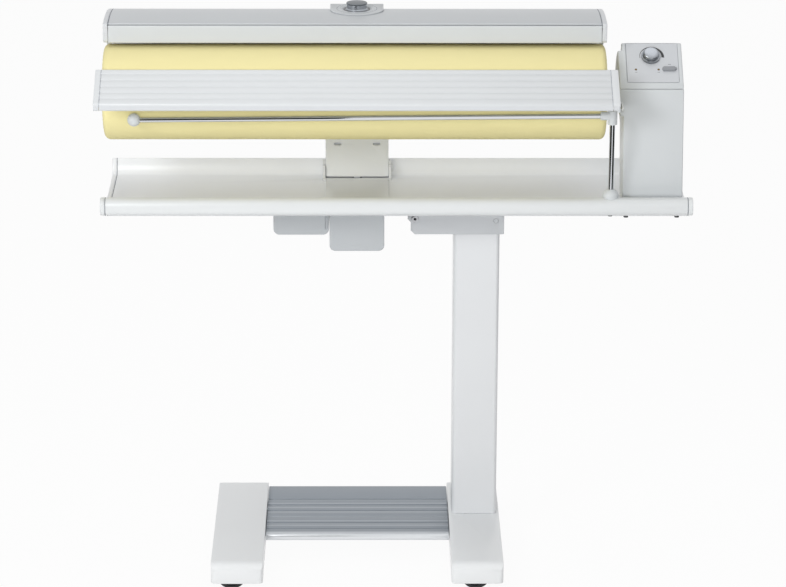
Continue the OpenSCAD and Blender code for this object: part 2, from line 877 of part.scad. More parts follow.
// Fold hinge: a channel on the column, a hollow pin and a leaf under the table
module hinge_bracket() {
    z0 = col_top;
    z1 = pin_z + bracket_rise;
    x0 = pin_x - bracket_left;
    x1 = pin_x + bracket_right;
    color("lightgray") home() difference() {
        union() {
            block(x0 + bracket_left, x1, col_y - bracket_out, col_y + bracket_out, z0,
                z0 + bracket_t);
            for (y = [col_y - bracket_out, col_y + bracket_in])
                translate([0, y + bracket_t, 0]) rotate([90, 0, 0]) linear_extrude(bracket_t)
                    polygon([[x0, z0 + bracket_left], [x0 + bracket_left, z0], [x1, z0],
                        [x1, z1], [x0, z1]]);
        }
        rod_y(0, foot_len, pin_x, pin_z, pin_r + fit_gap);
        rod_y(0, foot_len, pin_x + latch_x, pin_z + latch_z, latch_r + fit_gap);
        at_bracket_bolts() bolt_hole();
    }
}
module fold_pin() {
    y0 = col_y - bracket_out;
    y1 = col_y + bracket_out;
    color("silver") home() difference() {
        union() {
            rod_y(y0 - rivet_h, y1 + rivet_h, pin_x, pin_z, pin_r);
            rod_y(y0 - rivet_h, y0, pin_x, pin_z, rivet_r);
            rod_y(y1, y1 + rivet_h, pin_x, pin_z, rivet_r);
        }
        rod_y(0, foot_len + 2*rivet_h, pin_x, pin_z, pin_bore_r);
    }
}
module hinge_leaf() {
    y0 = col_y - leaf_in;
    y1 = col_y + leaf_in;
    x0 = pin_x - leaf_left;
    x1 = pin_x + striker_x + striker_r + leaf_over - leaf_t;
    color("lightgray") home() difference() {
        union() {
            block(x0, x1, y0, y1, table_under - leaf_t, table_under);
            for (y = [y0, y1 - leaf_t]) {
                block(x0, x1, y, y + leaf_t, pin_z - striker_r, table_under);
                rod_y(y, y + leaf_t, pin_x, pin_z, leaf_left);
            }
            rod_y(col_y - bracket_in + run_gap, col_y + bracket_in - run_gap, pin_x, pin_z,
                leaf_barrel_r);
            rod_y(y0, y1, pin_x + striker_x, pin_z, striker_r);
        }
        rod_y(0, foot_len, pin_x, pin_z, pin_r + fit_gap);
        at_leaf_screws() screw_hole();
    }
}
module at_leaf_screws() {
    for (i = leaf_screw_shares, j = [-1, 1])
        translate([pin_x + i*striker_x + leaf_barrel_r, col_y + j*leaf_in/2,
            table_under - leaf_t]) children();
}
// Latch: a cross rod with a nose beside the striker and a grip behind
module fold_latch() {
    x = pin_x + latch_x;
    z = pin_z + latch_z;
    near = pin_x + striker_x + striker_r + run_gap;
    over = pin_z + striker_r + 2*run_gap;
    color("darkgray") home() {
        rod_y(col_y - bracket_out, col_y + bracket_out + latch_grip_t + run_gap, x, z, latch_r);
        translate([0, col_y + latch_w/2, 0]) rotate([90, 0, 0]) linear_extrude(latch_w)
            polygon([[pin_x + striker_x + latch_tip, over], [near, over],
                [near, z - latch_nose/2], [x + latch_r, z - latch_nose/2],
                [x + latch_r, z + latch_nose/2], [near + latch_nose, over + latch_hook],
                [pin_x + striker_x + latch_tip, over + latch_hook]]);
        block(x - latch_grip_w/2, x + latch_grip_w/2, col_y + bracket_out + run_gap,
            col_y + bracket_out + run_gap + latch_grip_t, z - latch_grip, z + latch_nose);
    }
}

// Table: a drawn profile with a rounded front rim, a sloped floor and a rear rim
function floor_line(shares, drop) = concat(
    [[table_front + rim_d - rim_wall/2, floor_z + rim_share*rear_rim_h - drop]],
    [for (p = shares) [table_front + p[0]*table_d, floor_z + p[1]*rear_rim_h - drop]]);
function floor_top() = concat(floor_line(floor_shares, 0), rear_face());
function rear_face() = let (p = floor_shares[len(floor_shares) - 1],
    y0 = table_front + p[0]*table_d, z0 = floor_z + p[1]*rear_rim_h,
    y1 = table_rear - table_t, z1 = floor_z + rear_rim_h)
    [for (i = [1:rear_curve_steps]) let (a = (90 - rear_lean)*i/rear_curve_steps)
        [y0 + (y1 - y0)*sin(a)/sin(90 - rear_lean),
        z0 + (z1 - z0)*(1 - cos(a))/(1 - cos(90 - rear_lean))]];
function floor_low() = concat(floor_line(low_shares, table_t), [[table_rear, floor_z
    + low_shares[len(low_shares) - 1][1]*rear_rim_h], [table_rear, floor_z + rear_rim_h]]);
module rim_outline(inset) {
    y0 = table_front + inset;
    y1 = table_front + rim_d - inset;
    z0 = rim_low + inset;
    z1 = rim_top - inset;
    f = rim_front_r - inset;
    b = rim_back_r - inset;
    t = rim_top_r - inset;
    polygon([[y0, z0 + f], [y0 + f, z0], [y1 - b, z0], [y1, z0 + b], [y1, z1 - t], [y1 - t, z1],
        [y0 + f, z1], [y0, z1 - f]]);
    for (z = [z0 + f, z1 - f]) translate([y0 + f, z]) circle(f);
    translate([y1 - b, z0 + b]) circle(b);
    translate([y1 - t, z1 - t]) circle(t);
}
module table_profile(x0, x1) {
    along(x0, x1) rim_outline(0);
    along(x0, x1) polygon(concat(floor_top(), reversed(floor_low())));
}
// What lies below the table's floor, to cut what stands on it
module below_floor() {
    along(-table_len, table_len) polygon(concat(floor_top(),
        [[table_rear + table_d, floor_z + rear_rim_h], [table_rear + table_d, 0], [0, 0],
        [0, rim_low + floor_z - table_under]]));
}
module arm_slot() {
    y0 = lever_front - 2*run_gap;
    block(-arm_x - slot_half, -arm_x + slot_half, y0 - cut_over, lever_front + lever_d
        + 2*cut_over,
        table_under - cut_over, floor_z + rear_rim_h/2);
}
module table_tray() {
    color("white") home() difference() {
        table_profile(-tray_x, tray_x);
        along(-tray_x - cut_over, tray_x + cut_over) rim_outline(rim_wall);
        arm_slot();
        at_leaf_screws() screw_hole();
        at_console_screws() screw_hole();
        at_socket_screw() screw_hole();
        translate([post_x, post_y, rim_top - rim_front_r/2])
            cylinder(r = socket_stem_r + fit_gap, h = rim_front_r);
        translate([gland_x, gland_y, table_under - cut_over])
            cylinder(r = gland_r + fit_gap, h = table_t + 2*cut_over);
    }
}
module table_end_caps() {
    color("white") home() {
        table_profile(-table_len/2, -tray_x);
        table_profile(tray_x, table_len/2);
    }
}
function frame_x0() = console_x + console_wall + frame_gap;
function frame_x1() = console_x1 - console_wall - frame_gap;
module at_console_screws() {
    for (x = [frame_x0() + frame_screw_in, frame_x1() - frame_screw_in],
        y = [frame_front + frame_screw_in, frame_rear - frame_screw_in])
        translate([x, y, table_under]) children();
}
module at_socket_screw() { translate([post_x, post_y, rim_low]) children(); }
module table_screws() {
    color("black") home() {
        at_leaf_screws() screw();
        at_console_screws() screw();
        at_socket_screw() screw();
    }
}

// Boxes under the table: the shoe drive's housing and a sealed power unit
module hung_box(x0, x1, h, d) {
    z0 = table_under - h;
    w = x1 - x0;
    high = h + 2*box_round;
    translate([x0 + w/2, box_front, 0]) rotate([-90, 0, 0]) linear_extrude(d)
        translate([0, -(z0 + high/2)]) rounded(w, high, box_round);
}
module above_tray() {
    high = floor_z + 2*rear_rim_h;
    along(-table_len, table_len) polygon(concat(floor_low(), [[table_rear, high],
        [floor_low()[0][0], high]]));
}
module drive_housing() {
    color("silver") home() difference() {
        hung_box(drive_x0, drive_x0 + drive_box_w, drive_box_h, box_d);
        translate([drive_x0 + box_wall, box_front + box_wall, drive_floor()])
            cube([drive_box_w - 2*box_wall, box_d - 2*box_wall, 2*drive_box_h]);
        above_tray();
    }
}
module power_unit() {
    x1 = board_x1;
    color("silver") home() difference() {
        hung_box(x1 - board_box_w, x1, board_box_h, board_box_d);
        block(x1 - 2*groove_box_w, x1 - groove_box_w, box_front - cut_over,
            box_front + box_wall/2, table_under - board_box_h + box_round, table_under);
        above_tray();
    }
}
// Gearmotor and cam that push the arm's lever
module shoe_gearmotor() {
    x0 = -arm_x + slot_half;
    color("gray") home() difference() {
        union() {
            translate([x0, cam_y - gearmotor[1]/2, cam_z - gearmotor[2]/2]) cube(gearmotor);
            block(x0, x0 + gearmotor[0], cam_y - gearmotor[1]/2, cam_y, drive_floor(),
                cam_z);
        }
        rod_x(x0 - cut_over, x0 + gearmotor[0] - box_wall, cam_y, cam_z,
            cam_shaft_r + fit_gap);
    }
}
function drive_floor() = table_under - drive_box_h + box_wall;
module shoe_cam() {
    color("silver") home() translate([-arm_x, cam_y, cam_z]) {
        rod_x(-cam_w/2, slot_half + gearmotor[0] - 2*box_wall, 0, 0, cam_shaft_r);
        rod_x(-cam_w/2, cam_w/2, cam_ecc*cos(cam_start), cam_ecc*sin(cam_start), cam_r);
    }
}

// Base of the arm: a plate on the table's floor with two lugs and the pivot pin
module arm_base() {
    x0 = -arm_x - arm_w/2;
    x1 = -arm_x + arm_w/2;
    out = run_gap + lug_t;
    high = floor_z + rear_rim_h;
    lug_z = arm_pivot_z + lug_rise;
    color("white") home() {
        difference() {
            intersection() {
                union() {
                    block(x0, x1, base_rear - base_d, base_rear, table_under, high);
                    block(x0 - out, x1 + out, base_rear - base_strip, base_rear, table_under, high);
                }
                translate([0, 0, base_t]) below_floor();
            }
            below_floor();
        }
        for (x = [x0 - out, x1 + run_gap]) difference() {
            union() {
                rod_x(x, x + lug_t, arm_pivot_y, lug_z, lug_r);
                block(x, x + lug_t, base_rear - cut_over, arm_pivot_y + lug_r, floor_z, lug_z);
            }
            below_floor();
        }
        rod_x(x0 - out, x1 + out, arm_pivot_y, arm_pivot_z, arm_pin_r);
    }
}
// Arm: a flat upright with a flared foot, a lever below and a nose that holds the shoe
module arm_outline() {
    rear = arm_front + arm_t;
    polygon([[arm_front - arm_toe, arm_low], [arm_front, arm_low + arm_toe_h],
        [arm_front, arm_high], [rear - arm_heel, arm_high], [rear, arm_high - arm_heel],
        [rear, arm_low + 2*arm_heel], [rear - arm_heel, arm_low]]);
}
module support_arm() {
    x0 = -arm_x - arm_w/2;
    x1 = -arm_x + arm_w/2;
    color("white") home() difference() {
        union() {
            along(x0, x1) arm_outline();
            block(-arm_x - lever_w/2, -arm_x + lever_w/2, lever_front,
                lever_front + lever_d, arm_pivot_z - lever_low, arm_pivot_z);
            block(-arm_x - arm_nose_w/2, -arm_x + arm_nose_w/2, bore_y, arm_front + cut_over,
                arm_nose_low, arm_nose_high);
        }
        rod_x(x0 - cut_over, x1 + cut_over, arm_pivot_y, arm_pivot_z, arm_pin_r + fit_gap);
        rod_x(x0, x1, bore_y, bore_z, bore_r + shoe_t + fit_gap);
        for (s = [-1, 1]) block(-arm_x + s*arm_slot_x - arm_slot_w/2,
            -arm_x + s*arm_slot_x + arm_slot_w/2, arm_front - cut_over, arm_front + arm_t/2,
            arm_slot_z, arm_slot_z + arm_slot_h);
    }
}

// Roller: shaft, hollow drum with two discs, felt padding and a cloth cover
module roller_shaft() {
    color("silver") home() rod_x(roller_x0 + core_inset, shaft_end, roller_y, roller_z, shaft_r);
}
module roller_drum() {
    x0 = roller_x0 + core_inset;
    x1 = roller_x1 - core_inset;
    color("gray") home() difference() {
        rod_x(x0, x1, roller_y, roller_z, core_r);
        rod_x(x0 + disc_t, x1 - disc_t, roller_y, roller_z, core_r - core_t);
        rod_x(x0 - cut_over, x1 + cut_over, roller_y, roller_z, shaft_r + fit_gap);
    }
}
module roller_padding() {
    h = roller_len - 2*cloth_t;
    r = roller_r - cloth_t - fit_gap;
    q = roller_round - cloth_t;
    c = core_r + fit_gap;
    color("wheat") home() translate([roller_x0 + cloth_t, roller_y, roller_z])
        rotate([0, 90, 0]) difference() {
            rotate_extrude() union() {
                square([r - q, h]);
                translate([0, q]) square([r, h - 2*q]);
                for (z = [q, h - q]) translate([r - q, z]) circle(q);
            }
            translate([0, 0, -cut_over]) cylinder(r = c, h = h + 2*cut_over);
        }
}
module roller_cloth() {
    h = roller_x1 - roller_x0;
    r = roller_r;
    q = roller_round;
    t = cloth_t;
    color("khaki") home() translate([roller_x0, roller_y, roller_z]) rotate([0, 90, 0])
        rotate_extrude() difference() {
            union() {
                translate([hem_r, 0]) square([r - hem_r - q, h]);
                translate([hem_r, q]) square([r - hem_r, h - 2*q]);
                for (z = [q, h - q]) translate([r - q, z]) circle(q);
            }
            union() {
                translate([0, t]) square([r - q, h - 2*t]);
                translate([0, q]) square([r - t, h - 2*q]);
                for (z = [q, h - q]) translate([r - q, z]) circle(q - t);
            }
        }
}

// Gears of the roller drive
module gear(teeth, w, bore, start) {
    rp = gear_m*teeth/2;
    rr = rp - root_depth*gear_m;
    rt = rp + tip_height*gear_m;
    half = gear_m*PI/4 - tooth_thin/2;
    hr = half + (rp - rr)*tan(pressure_angle);
    ht = half - (rt - rp)*tan(pressure_angle);
    linear_extrude(w) difference() {
        union() {
            circle(rr + fit_gap);
            for (i = [0:teeth - 1]) rotate(start + 360*i/teeth)
                polygon([[rr - gear_m, -hr], [rr, -hr], [rt, -ht], [rt, ht], [rr, hr],
                    [rr - gear_m, hr]]);
        }
        circle(bore);
    }
}
function mesh_angle() = 270 - pinion_angle;
module roller_gear() {
    color("dimgray") home() translate([gear_x, roller_y, roller_z]) rotate([90, 0, 90])
        gear(gear_teeth, gear_w, shaft_r + fit_gap, mesh_angle());
}
module motor_pinion() {
    color("silver") home() translate([gear_x, pinion_y, pinion_z]) rotate([90, 0, 90]) {
        gear(pinion_teeth, gear_w, pinion_shaft_r/2, mesh_angle() + 180 + 180/pinion_teeth);
        cylinder(r = pinion_shaft_r, h = motor_x - gear_x + motor_len/2);
    }
}
module roller_motor() {
    color("gray") home() difference() {
        union() {
            rod_x(motor_x, motor_x + motor_len, pinion_y, pinion_z, motor_r);
            rod_x(plate_b + plate_t, motor_x + cut_over, pinion_y, pinion_z, motor_r/2);
        }
        rod_x(plate_b, motor_x + motor_len/2 + cut_over, pinion_y, pinion_z,
            pinion_shaft_r + fit_gap);
    }
}
module roller_bearings() {
    color("silver") home() for (x = [plate_a, plate_b]) difference() {
        rod_x(x, x + bearing_w, roller_y, roller_z, bearing_r);
        rod_x(x - cut_over, x + bearing_w + cut_over, roller_y, roller_z, shaft_r + fit_gap);
    }
}
// Frame of the console: two plates with bearing hubs on one base
module frame_plate(x) {
    rod_x(x, x + hub_w, roller_y, roller_z, bearing_r + hub_out);
    hub = bearing_r + hub_out;
    along(x, x + plate_t) polygon([[frame_front, floor_z], [frame_rear, floor_z],
        [roller_y + hub, roller_z - bearing_r], [roller_y + hub, roller_z],
        [roller_y - hub, roller_z], [roller_y - hub - bearing_r, roller_z - 2*bearing_r]]);
}
module console_frame() {
    color("gray") home() difference() {
        union() {
            frame_plate(plate_a);
            frame_plate(plate_b);
            block(frame_x0(), frame_x1(), frame_front, frame_rear, floor_z,
                floor_z + frame_base_t);
        }
        rod_x(plate_a - cut_over, plate_b + hub_w + cut_over, roller_y, roller_z,
            bearing_r + fit_gap);
        rod_x(plate_b - cut_over, plate_b + hub_w + cut_over, pinion_y, pinion_z,
            pinion_shaft_r + hole_over);
        at_console_screws() screw_hole();
        translate([gland_x, gland_y, table_under]) cylinder(r = gland_r + hole_over,
            h = table_t + frame_base_t + cut_over);
    }
}

// Side outline of the console: a leaning body, a round bearing end and a sloped top
function front_y(z) = console_front + (z - floor_z)*front_lean;
function rear_y(z) = console_front + console_d + (z - floor_z)*rear_lean_share;
function panel_point(s, depth) = [panel_y + s*panel_c + depth*panel_s,
    panel_z + s*panel_s - depth*panel_c];
module console_bounds(inset) {
    far = roller_y + 2*drum_end_r;
    a = panel_point(0, inset);
    b = panel_point(panel_len, inset);
    polygon([[front_y(floor_z) + inset, floor_z - 2*table_rise],
        [front_y(seam_z) + inset, seam_z], a, b, [far, b[1] + top_round], [far, 0],
        [front_y(floor_z) + inset, 0]]);
}
module console_outline(inset) {
    low = floor_z - 2*table_rise;
    join_z = roller_z - drum_end_r/2;
    t = panel_point(panel_len - top_round, top_round);
    intersection() {
        console_bounds(inset);
        union() {
            polygon([[front_y(low) + inset, low], [rear_y(low) - inset, low],
                [rear_y(join_z) - inset, join_z], [roller_y, roller_z],
                [front_y(roller_z) + inset, roller_z]]);
            translate([roller_y, roller_z]) circle(drum_end_r - inset);
            translate(t) circle(top_round - inset);
            head_fill(t, inset);
        }
    }
}
// Straight flank, tangent to the round end and to the small top round
module head_fill(t, inset) {
    c = [roller_y, roller_z];
    d = norm(t - c);
    a = atan2(t[1] - c[1], t[0] - c[0]);
    k = acos((drum_end_r - top_round)/d);
    n = [cos(a - k), sin(a - k)];
    p = panel_point(0, inset);
    q = panel_point(panel_len - top_round, inset);
    polygon([c, c + (drum_end_r - inset)*n, t + (top_round - inset)*n, q, p,
        [front_y(seam_z) + inset, seam_z], [front_y(roller_z) + inset, roller_z]]);
}
module bearing_boss() {
    along(console_x - boss_out, console_x + cut_over) intersection() {
        console_bounds(0);
        translate([roller_y, roller_z]) circle(drum_end_r);
        translate([0, roller_z - boss_cut]) square(2*roller_z);
    }
}
module console_shell() {
    wall = console_wall;
    color("white") home() difference() {
        union() {
            difference() {
                along(console_x, console_x1) console_outline(0);
                along(console_x + wall, console_x1 - wall) console_outline(wall);
                block(0, table_len, 0, foot_len, seam_z, 2*seam_z);
            }
            difference() {
                bearing_boss();
                block(0, table_len, 0, foot_len, seam_z, 2*seam_z);
            }
        }
        below_floor();
        rod_x(console_x - boss_out - cut_over, console_x + wall + cut_over, roller_y, roller_z,
            shaft_r + hole_over);
    }
}
module on_panel(x, s) {
    p = panel_point(s, 0);
    translate([x, p[0], p[1]]) rotate([panel_slope, 0, 0]) children();
}
function panel_x0() = (console_x + console_x1 - panel_w)/2;
module panel_recess(extra) {
    on_panel(panel_x0() - extra, panel_margin - extra) translate([0, 0, -panel_t - fit_gap])
        cube([panel_w + 2*extra, panel_len - 2*panel_margin + 2*extra, panel_t + 2*cut_over]);
}
module panel_window() {
    on_panel(panel_x0() + window_in, panel_margin + window_in) translate([0, 0, -4*console_wall])
        cube([panel_w - 2*window_in, panel_len - 2*panel_margin - 2*window_in,
        4*console_wall + cut_over]);
}
module console_head() {
    wall = console_wall;
    color("white") home() difference() {
        union() {
            along(console_x, console_x1) console_outline(0);
            bearing_boss();
        }
        along(console_x + wall, console_x1 - wall) console_outline(wall);
        block(0, table_len, 0, foot_len, 0, seam_z + head_gap);
        panel_recess(head_gap);
        panel_window();
    }
}
module control_panel() {
    color("whitesmoke") home() difference() {
        union() {
            on_panel(panel_x0(), panel_margin) translate([0, 0, -panel_t])
                cube([panel_w, panel_len - 2*panel_margin, panel_t]);
            for (x = pcb_posts_x(), s = pcb_posts_s()) on_panel(x, s)
                translate([0, 0, -pcb_depth]) cylinder(r = standoff_r, h = pcb_depth - panel_t/2);
        }
        on_panel(dial_x, dial_s) translate([0, 0, -2*panel_t])
            cylinder(r = spindle_r + fit_gap, h = 4*panel_t);
        on_panel(button_x, button_s) translate([0, 0, -2*panel_t])
            linear_extrude(4*panel_t) button_outline(run_gap/2);
        for (x = lens_x) on_panel(x, lens_s) translate([0, 0, -2*panel_t])
            cylinder(r = lens_r + fit_gap, h = 4*panel_t);
    }
}
function pcb_x() = [plate_b + hub_w + pcb_gap, console_x1 - console_wall - pcb_end];
function pcb_posts_x() = [pcb_x()[0] + post_inset, pcb_x()[1] - post_inset];
function pcb_posts_s() = [pcb_s + post_inset, pcb_s + pcb_l - post_inset];
module indicator_lenses() {
    color("orange") home() for (x = lens_x) on_panel(x, lens_s)
        translate([0, 0, -panel_t]) cylinder(r = lens_r, h = panel_t + run_gap);
}
// Board with the dial's regulator and the button's switch on it
module control_board() {
    color("green") home() {
        on_panel(pcb_x()[0], pcb_s) translate([0, 0, -pcb_depth - pcb_t])
            cube([pcb_x()[1] - pcb_x()[0], pcb_l, pcb_t]);
        on_panel(dial_x, dial_s) translate([0, 0, -pcb_depth]) difference() {
            cylinder(r = pot_r, h = pcb_depth - 3*panel_t);
            translate([0, 0, panel_t]) cylinder(r = spindle_r + fit_gap, h = pcb_depth);
        }
        on_panel(button_x, button_s) translate([-button_l/4, -button_w/4, -pcb_depth])
            cube([button_l/2, button_w/2, pcb_depth - 2*panel_t - button_travel - run_gap]);
    }
}
module temperature_dial() {
    top_r = dial_r - dial_taper;
    color("silver") home() on_panel(dial_x, dial_s) {
        rotate_extrude() difference() {
            union() {
                translate([0, run_gap]) square([dial_r, dial_rim]);
                polygon([[0, run_gap], [dial_r - dial_edge/2, run_gap], [top_r, dial_h - dial_edge],
                    [top_r - dial_edge, dial_h], [0, dial_h]]);
            }
            translate([-dial_r, 0]) square([dial_r, dial_h]);
        }
        translate([0, 0, -pcb_depth + 2*panel_t]) cylinder(r = spindle_r, h = pcb_depth);
    }
}
module button_outline(grow) {
    l = button_l/2 + grow;
    w = button_w/2 + grow;
    polygon([[-l, w/2], [-l + w/2, w], [l - w, w], [l, 0], [l - w, -w], [-l + w/2, -w],
        [-l, -w/2]]);
}
module power_button() {
    color("gray") home() on_panel(button_x, button_s) translate([0, 0, -2*panel_t])
        linear_extrude(2*panel_t + button_travel + button_proud) button_outline(0);
}

// Shoe: a thick curved plate with two tube heaters on its back
module shoe_sector(r, x0, x1) {
    reach = 2*r;
    mid = (shoe_front_angle + shoe_rear_angle)/2;
    along(x0, x1) polygon([[bore_y, bore_z],
        [bore_y + reach*cos(shoe_rear_angle), bore_z + reach*sin(shoe_rear_angle)],
        [bore_y + 2*reach*cos(mid), bore_z + 2*reach*sin(mid)],
        [bore_y + reach*cos(shoe_front_angle), bore_z + reach*sin(shoe_front_angle)]]);
}
module ironing_shoe() {
    x0 = shoe_body_x0;
    x1 = shoe_body_x1;
    color("silver") home() intersection() {
        difference() {
            rod_x(x0, x1, bore_y, bore_z, bore_r + shoe_t);
            rod_x(x0 - cut_over, x1 + cut_over, bore_y, bore_z, bore_r);
        }
        shoe_sector(bore_r, x0 - cut_over, x1 + cut_over);
    }
}
module heating_elements() {
    ro = bore_r + shoe_t + heater_r + fit_gap;
    x0 = shoe_body_x0 + heater_inset;
    x1 = shoe_body_x1 - heater_inset;
    color("dimgray") home() for (a = heater_angles)
        rod_x(x0, x1, bore_y + ro*cos(a), bore_z + ro*sin(a), heater_r);
}
// Cover over the shoe: crowned top, round shoulder, upright back
function crown_angle(y, r) = 90 + asin((crown_y - y)/r);
function cover_path(y0, inset) = concat(
    arc(crown_y, crown_z_centre, crown_r - inset, crown_angle(y0, crown_r - inset),
        90 - crown_end, 12),
    arc(shoulder_y, shoulder_z, shoulder_r - inset, 90 - crown_end, 0, 10),
    arc(cover_rear - cover_foot_r, cover_low + cover_foot_r, cover_foot_r - inset, 0, -90, 6));
module shoe_cover() {
    y0 = guard_y + cover_lip;
    x = -arm_x;
    color("white") home() difference() {
        along(shoe_body_x0, shoe_body_x1)
            polygon(concat(cover_path(y0, 0), reversed(cover_path(y0, cover_t))));
        block(x - arm_nose_w/2 - window_gap, x + arm_nose_w/2 + window_gap,
            cover_rear - shoulder_r, cover_rear + cut_over, arm_nose_low - window_gap,
            arm_nose_high + window_gap);
        translate([x, knob_y, crown_z - shoulder_r])
            cylinder(r = spindle_r + run_gap, h = 2*shoulder_r);
    }
}
module cap_outline() {
    inner = bore_r + cap_clear;
    a1 = shoe_front_angle + 2;
    polygon(concat([[guard_y, guard_low + cap_corner]], cover_path(guard_y, 0),
        arc(bore_y, bore_z, inner, shoe_rear_angle - 3, a1, 24),
        [[guard_y + cap_corner, guard_low]]));
}
module shoe_end_caps() {
    reach = guard_pin_len + run_gap + cap_gap;
    color("white") home() difference() {
        union() {
            along(shoe_x0, shoe_body_x0 - cap_gap) cap_outline();
            along(shoe_body_x1 + cap_gap, shoe_x1) cap_outline();
        }
        at_guard_pin(shoe_body_x0 - cap_gap, -reach, fit_gap);
        at_guard_pin(shoe_body_x1 + cap_gap, reach, fit_gap);
    }
}
function guard_pivot() = [guard_y + guard_t/2, guard_high - guard_t - run_gap];
module at_guard_pin(x, reach, grow) {
    p = guard_pivot();
    over = grow > 0 ? cut_over : 0;
    x0 = reach < 0 ? x + reach : x - over;
    x1 = reach < 0 ? x + over : x + reach;
    rod_x(x0, x1, p[0], p[1], guard_pin_r + grow);
}
module finger_guard() {
    x0 = shoe_body_x0 + run_gap;
    x1 = shoe_body_x1 - run_gap;
    low = guard_low + guard_t/2;
    color("white") home() {
        along(x0, x1) {
            translate([guard_y, low]) square([guard_t/2, guard_pivot()[1] - low]);
            translate(guard_pivot()) circle(guard_t/2);
            translate([guard_y + guard_t/2, low]) circle(guard_t/2);
        }
        at_guard_pin(x0, -guard_pin_len, 0);
        at_guard_pin(x1, guard_pin_len, 0);
    }
}

// Plate and knob on the crown, above the arm
module knob_plate() {
    z1 = crown_z + knob_plate_h;
    color("white") home() difference() {
        translate([-arm_x, knob_y, crown_z - knob_plate_r]) linear_extrude(z1 - crown_z
            + knob_plate_r) intersection() {
                union() {
                    circle(knob_plate_r);
                    translate([-knob_plate_r, 0]) square(2*knob_plate_r);
                }
                translate([-knob_plate_r, -knob_plate_r])
                    square([2*knob_plate_r, (1 + plate_cut_share)*knob_plate_r]);
            }
        rod_x(-arm_x - arm_w, -arm_x + arm_w, crown_y, crown_z_centre, crown_r + fit_gap,
            $fn = 4*$fn);
        translate([-arm_x, knob_y, 0]) cylinder(r = spindle_r + fit_gap, h = 2*crown_z);
        translate([-arm_x, knob_y, z1 - plate_dish]) cylinder(r = knob_r + plate_dish_w,
            h = knob_plate_h);
    }
}
module pressure_knob() {
    z0 = crown_z + knob_plate_h - plate_dish + run_gap;
    color("silver") home() translate([-arm_x, knob_y, 0]) {
        translate([0, 0, z0]) cylinder(r = knob_r, h = knob_h);
        translate([0, 0, crown_z - shoulder_r/2]) cylinder(r = spindle_r,
            h = z0 - crown_z + shoulder_r/2 + knob_h/2);
    }
}

// Feed board, its end caps and its bracket
module on_board(x, s) {
    translate([x, board_y + s*board_c, board_z + s*board_s]) rotate([board_slope, 0, 0])
        children();
}
module board_outline(grooves) {
    r = board_t/2;
    difference() {
        union() {
            translate([r, -board_t]) square([board_w - 2*r, board_t]);
            for (s = [r, board_w - r]) translate([s, -r]) circle(r);
        }
        if (grooves) for (k = board_groove_shares)
            translate([k*board_w - board_groove_w/2, -board_groove_d])
                square([board_groove_w, board_groove_d + cut_over]);
    }
}
module board_piece(x0, x1, grooves) {
    on_board(x0, 0) rotate([90, 0, 90]) linear_extrude(x1 - x0) board_outline(grooves);
}
module feed_board() {
    color("white") home() board_piece(-board_left + board_cap_l, board_right - board_cap_r, true);
}
module feed_board_caps() {
    x1 = board_right;
    x0 = x1 - barrel_w;
    color("white") home() {
        board_piece(-board_left, -board_left + board_cap_l, false);
        difference() {
            union() {
                board_piece(x1 - board_cap_r, x1, false);
                rod_x(x0, x1, hinge_y, hinge_z, hinge_r);
                along(x0, x1) polygon([[hinge_y - hinge_r, hinge_z],
                    [hinge_y + hinge_r, hinge_z], [hinge_y + hinge_r, hinge_z + 3*hinge_r],
                    [hinge_y - hinge_r, hinge_z + 2*hinge_r]]);
            }
            rod_x(x0 + barrel_wall, x1 + cut_over, hinge_y, hinge_z, hinge_pin_r + fit_gap);
        }
    }
}
// Arm on the bearing end, with the board's hinge pin and rest
module feed_board_bracket() {
    x1 = console_x - boss_out;
    x0 = x1 - bracket_w;
    pin_x0 = board_right - barrel_w + barrel_wall + run_gap;
    rest_x0 = board_right - board_cap_r;
    half = bracket_h/2;
    color("dimgray") home() {
        along(x0, x1) polygon([[hinge_y, hinge_z - half], [pad_y, pad_z - half],
            [pad_y, pad_z + half], [rest_y + rest_w, hinge_z], [rest_y + rest_w, hinge_z + rest_h],
            [rest_y, hinge_z + rest_h], [hinge_y, hinge_z + half]]);
        rod_x(x0, x1, hinge_y, hinge_z, half);
        rod_x(x0, x1, pad_y, pad_z, pad_r);
        rod_x(pin_x0, x0 + cut_over, hinge_y, hinge_z, hinge_pin_r);
        block(rest_x0, x1, rest_y, rest_y + rest_w, hinge_z, hinge_z + rest_h);
        block(rest_x0, rest_x0 + rest_w, rest_y, rest_y + rest_w, hinge_z, rest_z);
    }
}

// Laundry rail: post and rod in an elbow, with an end ball
module rail_socket() {
    h = socket_h + socket_skirt;
    deep = rim_front_r/2;
    color("white") home() difference() {
        union() {
            difference() {
                translate([post_x, post_y, rim_top - socket_skirt]) rotate_extrude() intersection() {
                    square([socket_r, h]);
                    union() {
                        translate([0, h - socket_r]) circle(socket_r);
                        square([socket_r, h - socket_r]);
                    }
                }
                along(post_x - 2*socket_r, post_x + 2*socket_r) rim_outline(-fit_gap);
            }
            translate([post_x, post_y, rim_top - deep])
                cylinder(r = socket_stem_r, h = deep + cut_over);
            intersection() {
                translate([post_x, post_y, 0]) cylinder(r = socket_stem_r, h = rim_top - deep);
                along(post_x - socket_r, post_x + socket_r) rim_outline(rim_wall);
            }
        }
        translate([post_x, post_y, rim_top + socket_h - post_in])
            cylinder(r = rail_r + fit_gap, h = post_in + cut_over);
        at_socket_screw() screw_hole();
    }
}
function rail_tilt() = asin(rail_drop/rail_len);
module rail_line() {
    translate([post_x, post_y, rail_z]) rotate([0, -90 - rail_tilt(), 0]) children();
}
module rail_tubes() {
    low = rim_top + socket_h - post_in + run_gap;
    color("silver") home() {
        translate([post_x, post_y, low]) cylinder(r = rail_r, h = rail_z - rail_r - low
            - tube_gap);
        rail_line() translate([0, 0, rail_r + tube_gap])
            cylinder(r = rail_r, h = rail_len - rail_r - tube_gap);
    }
}
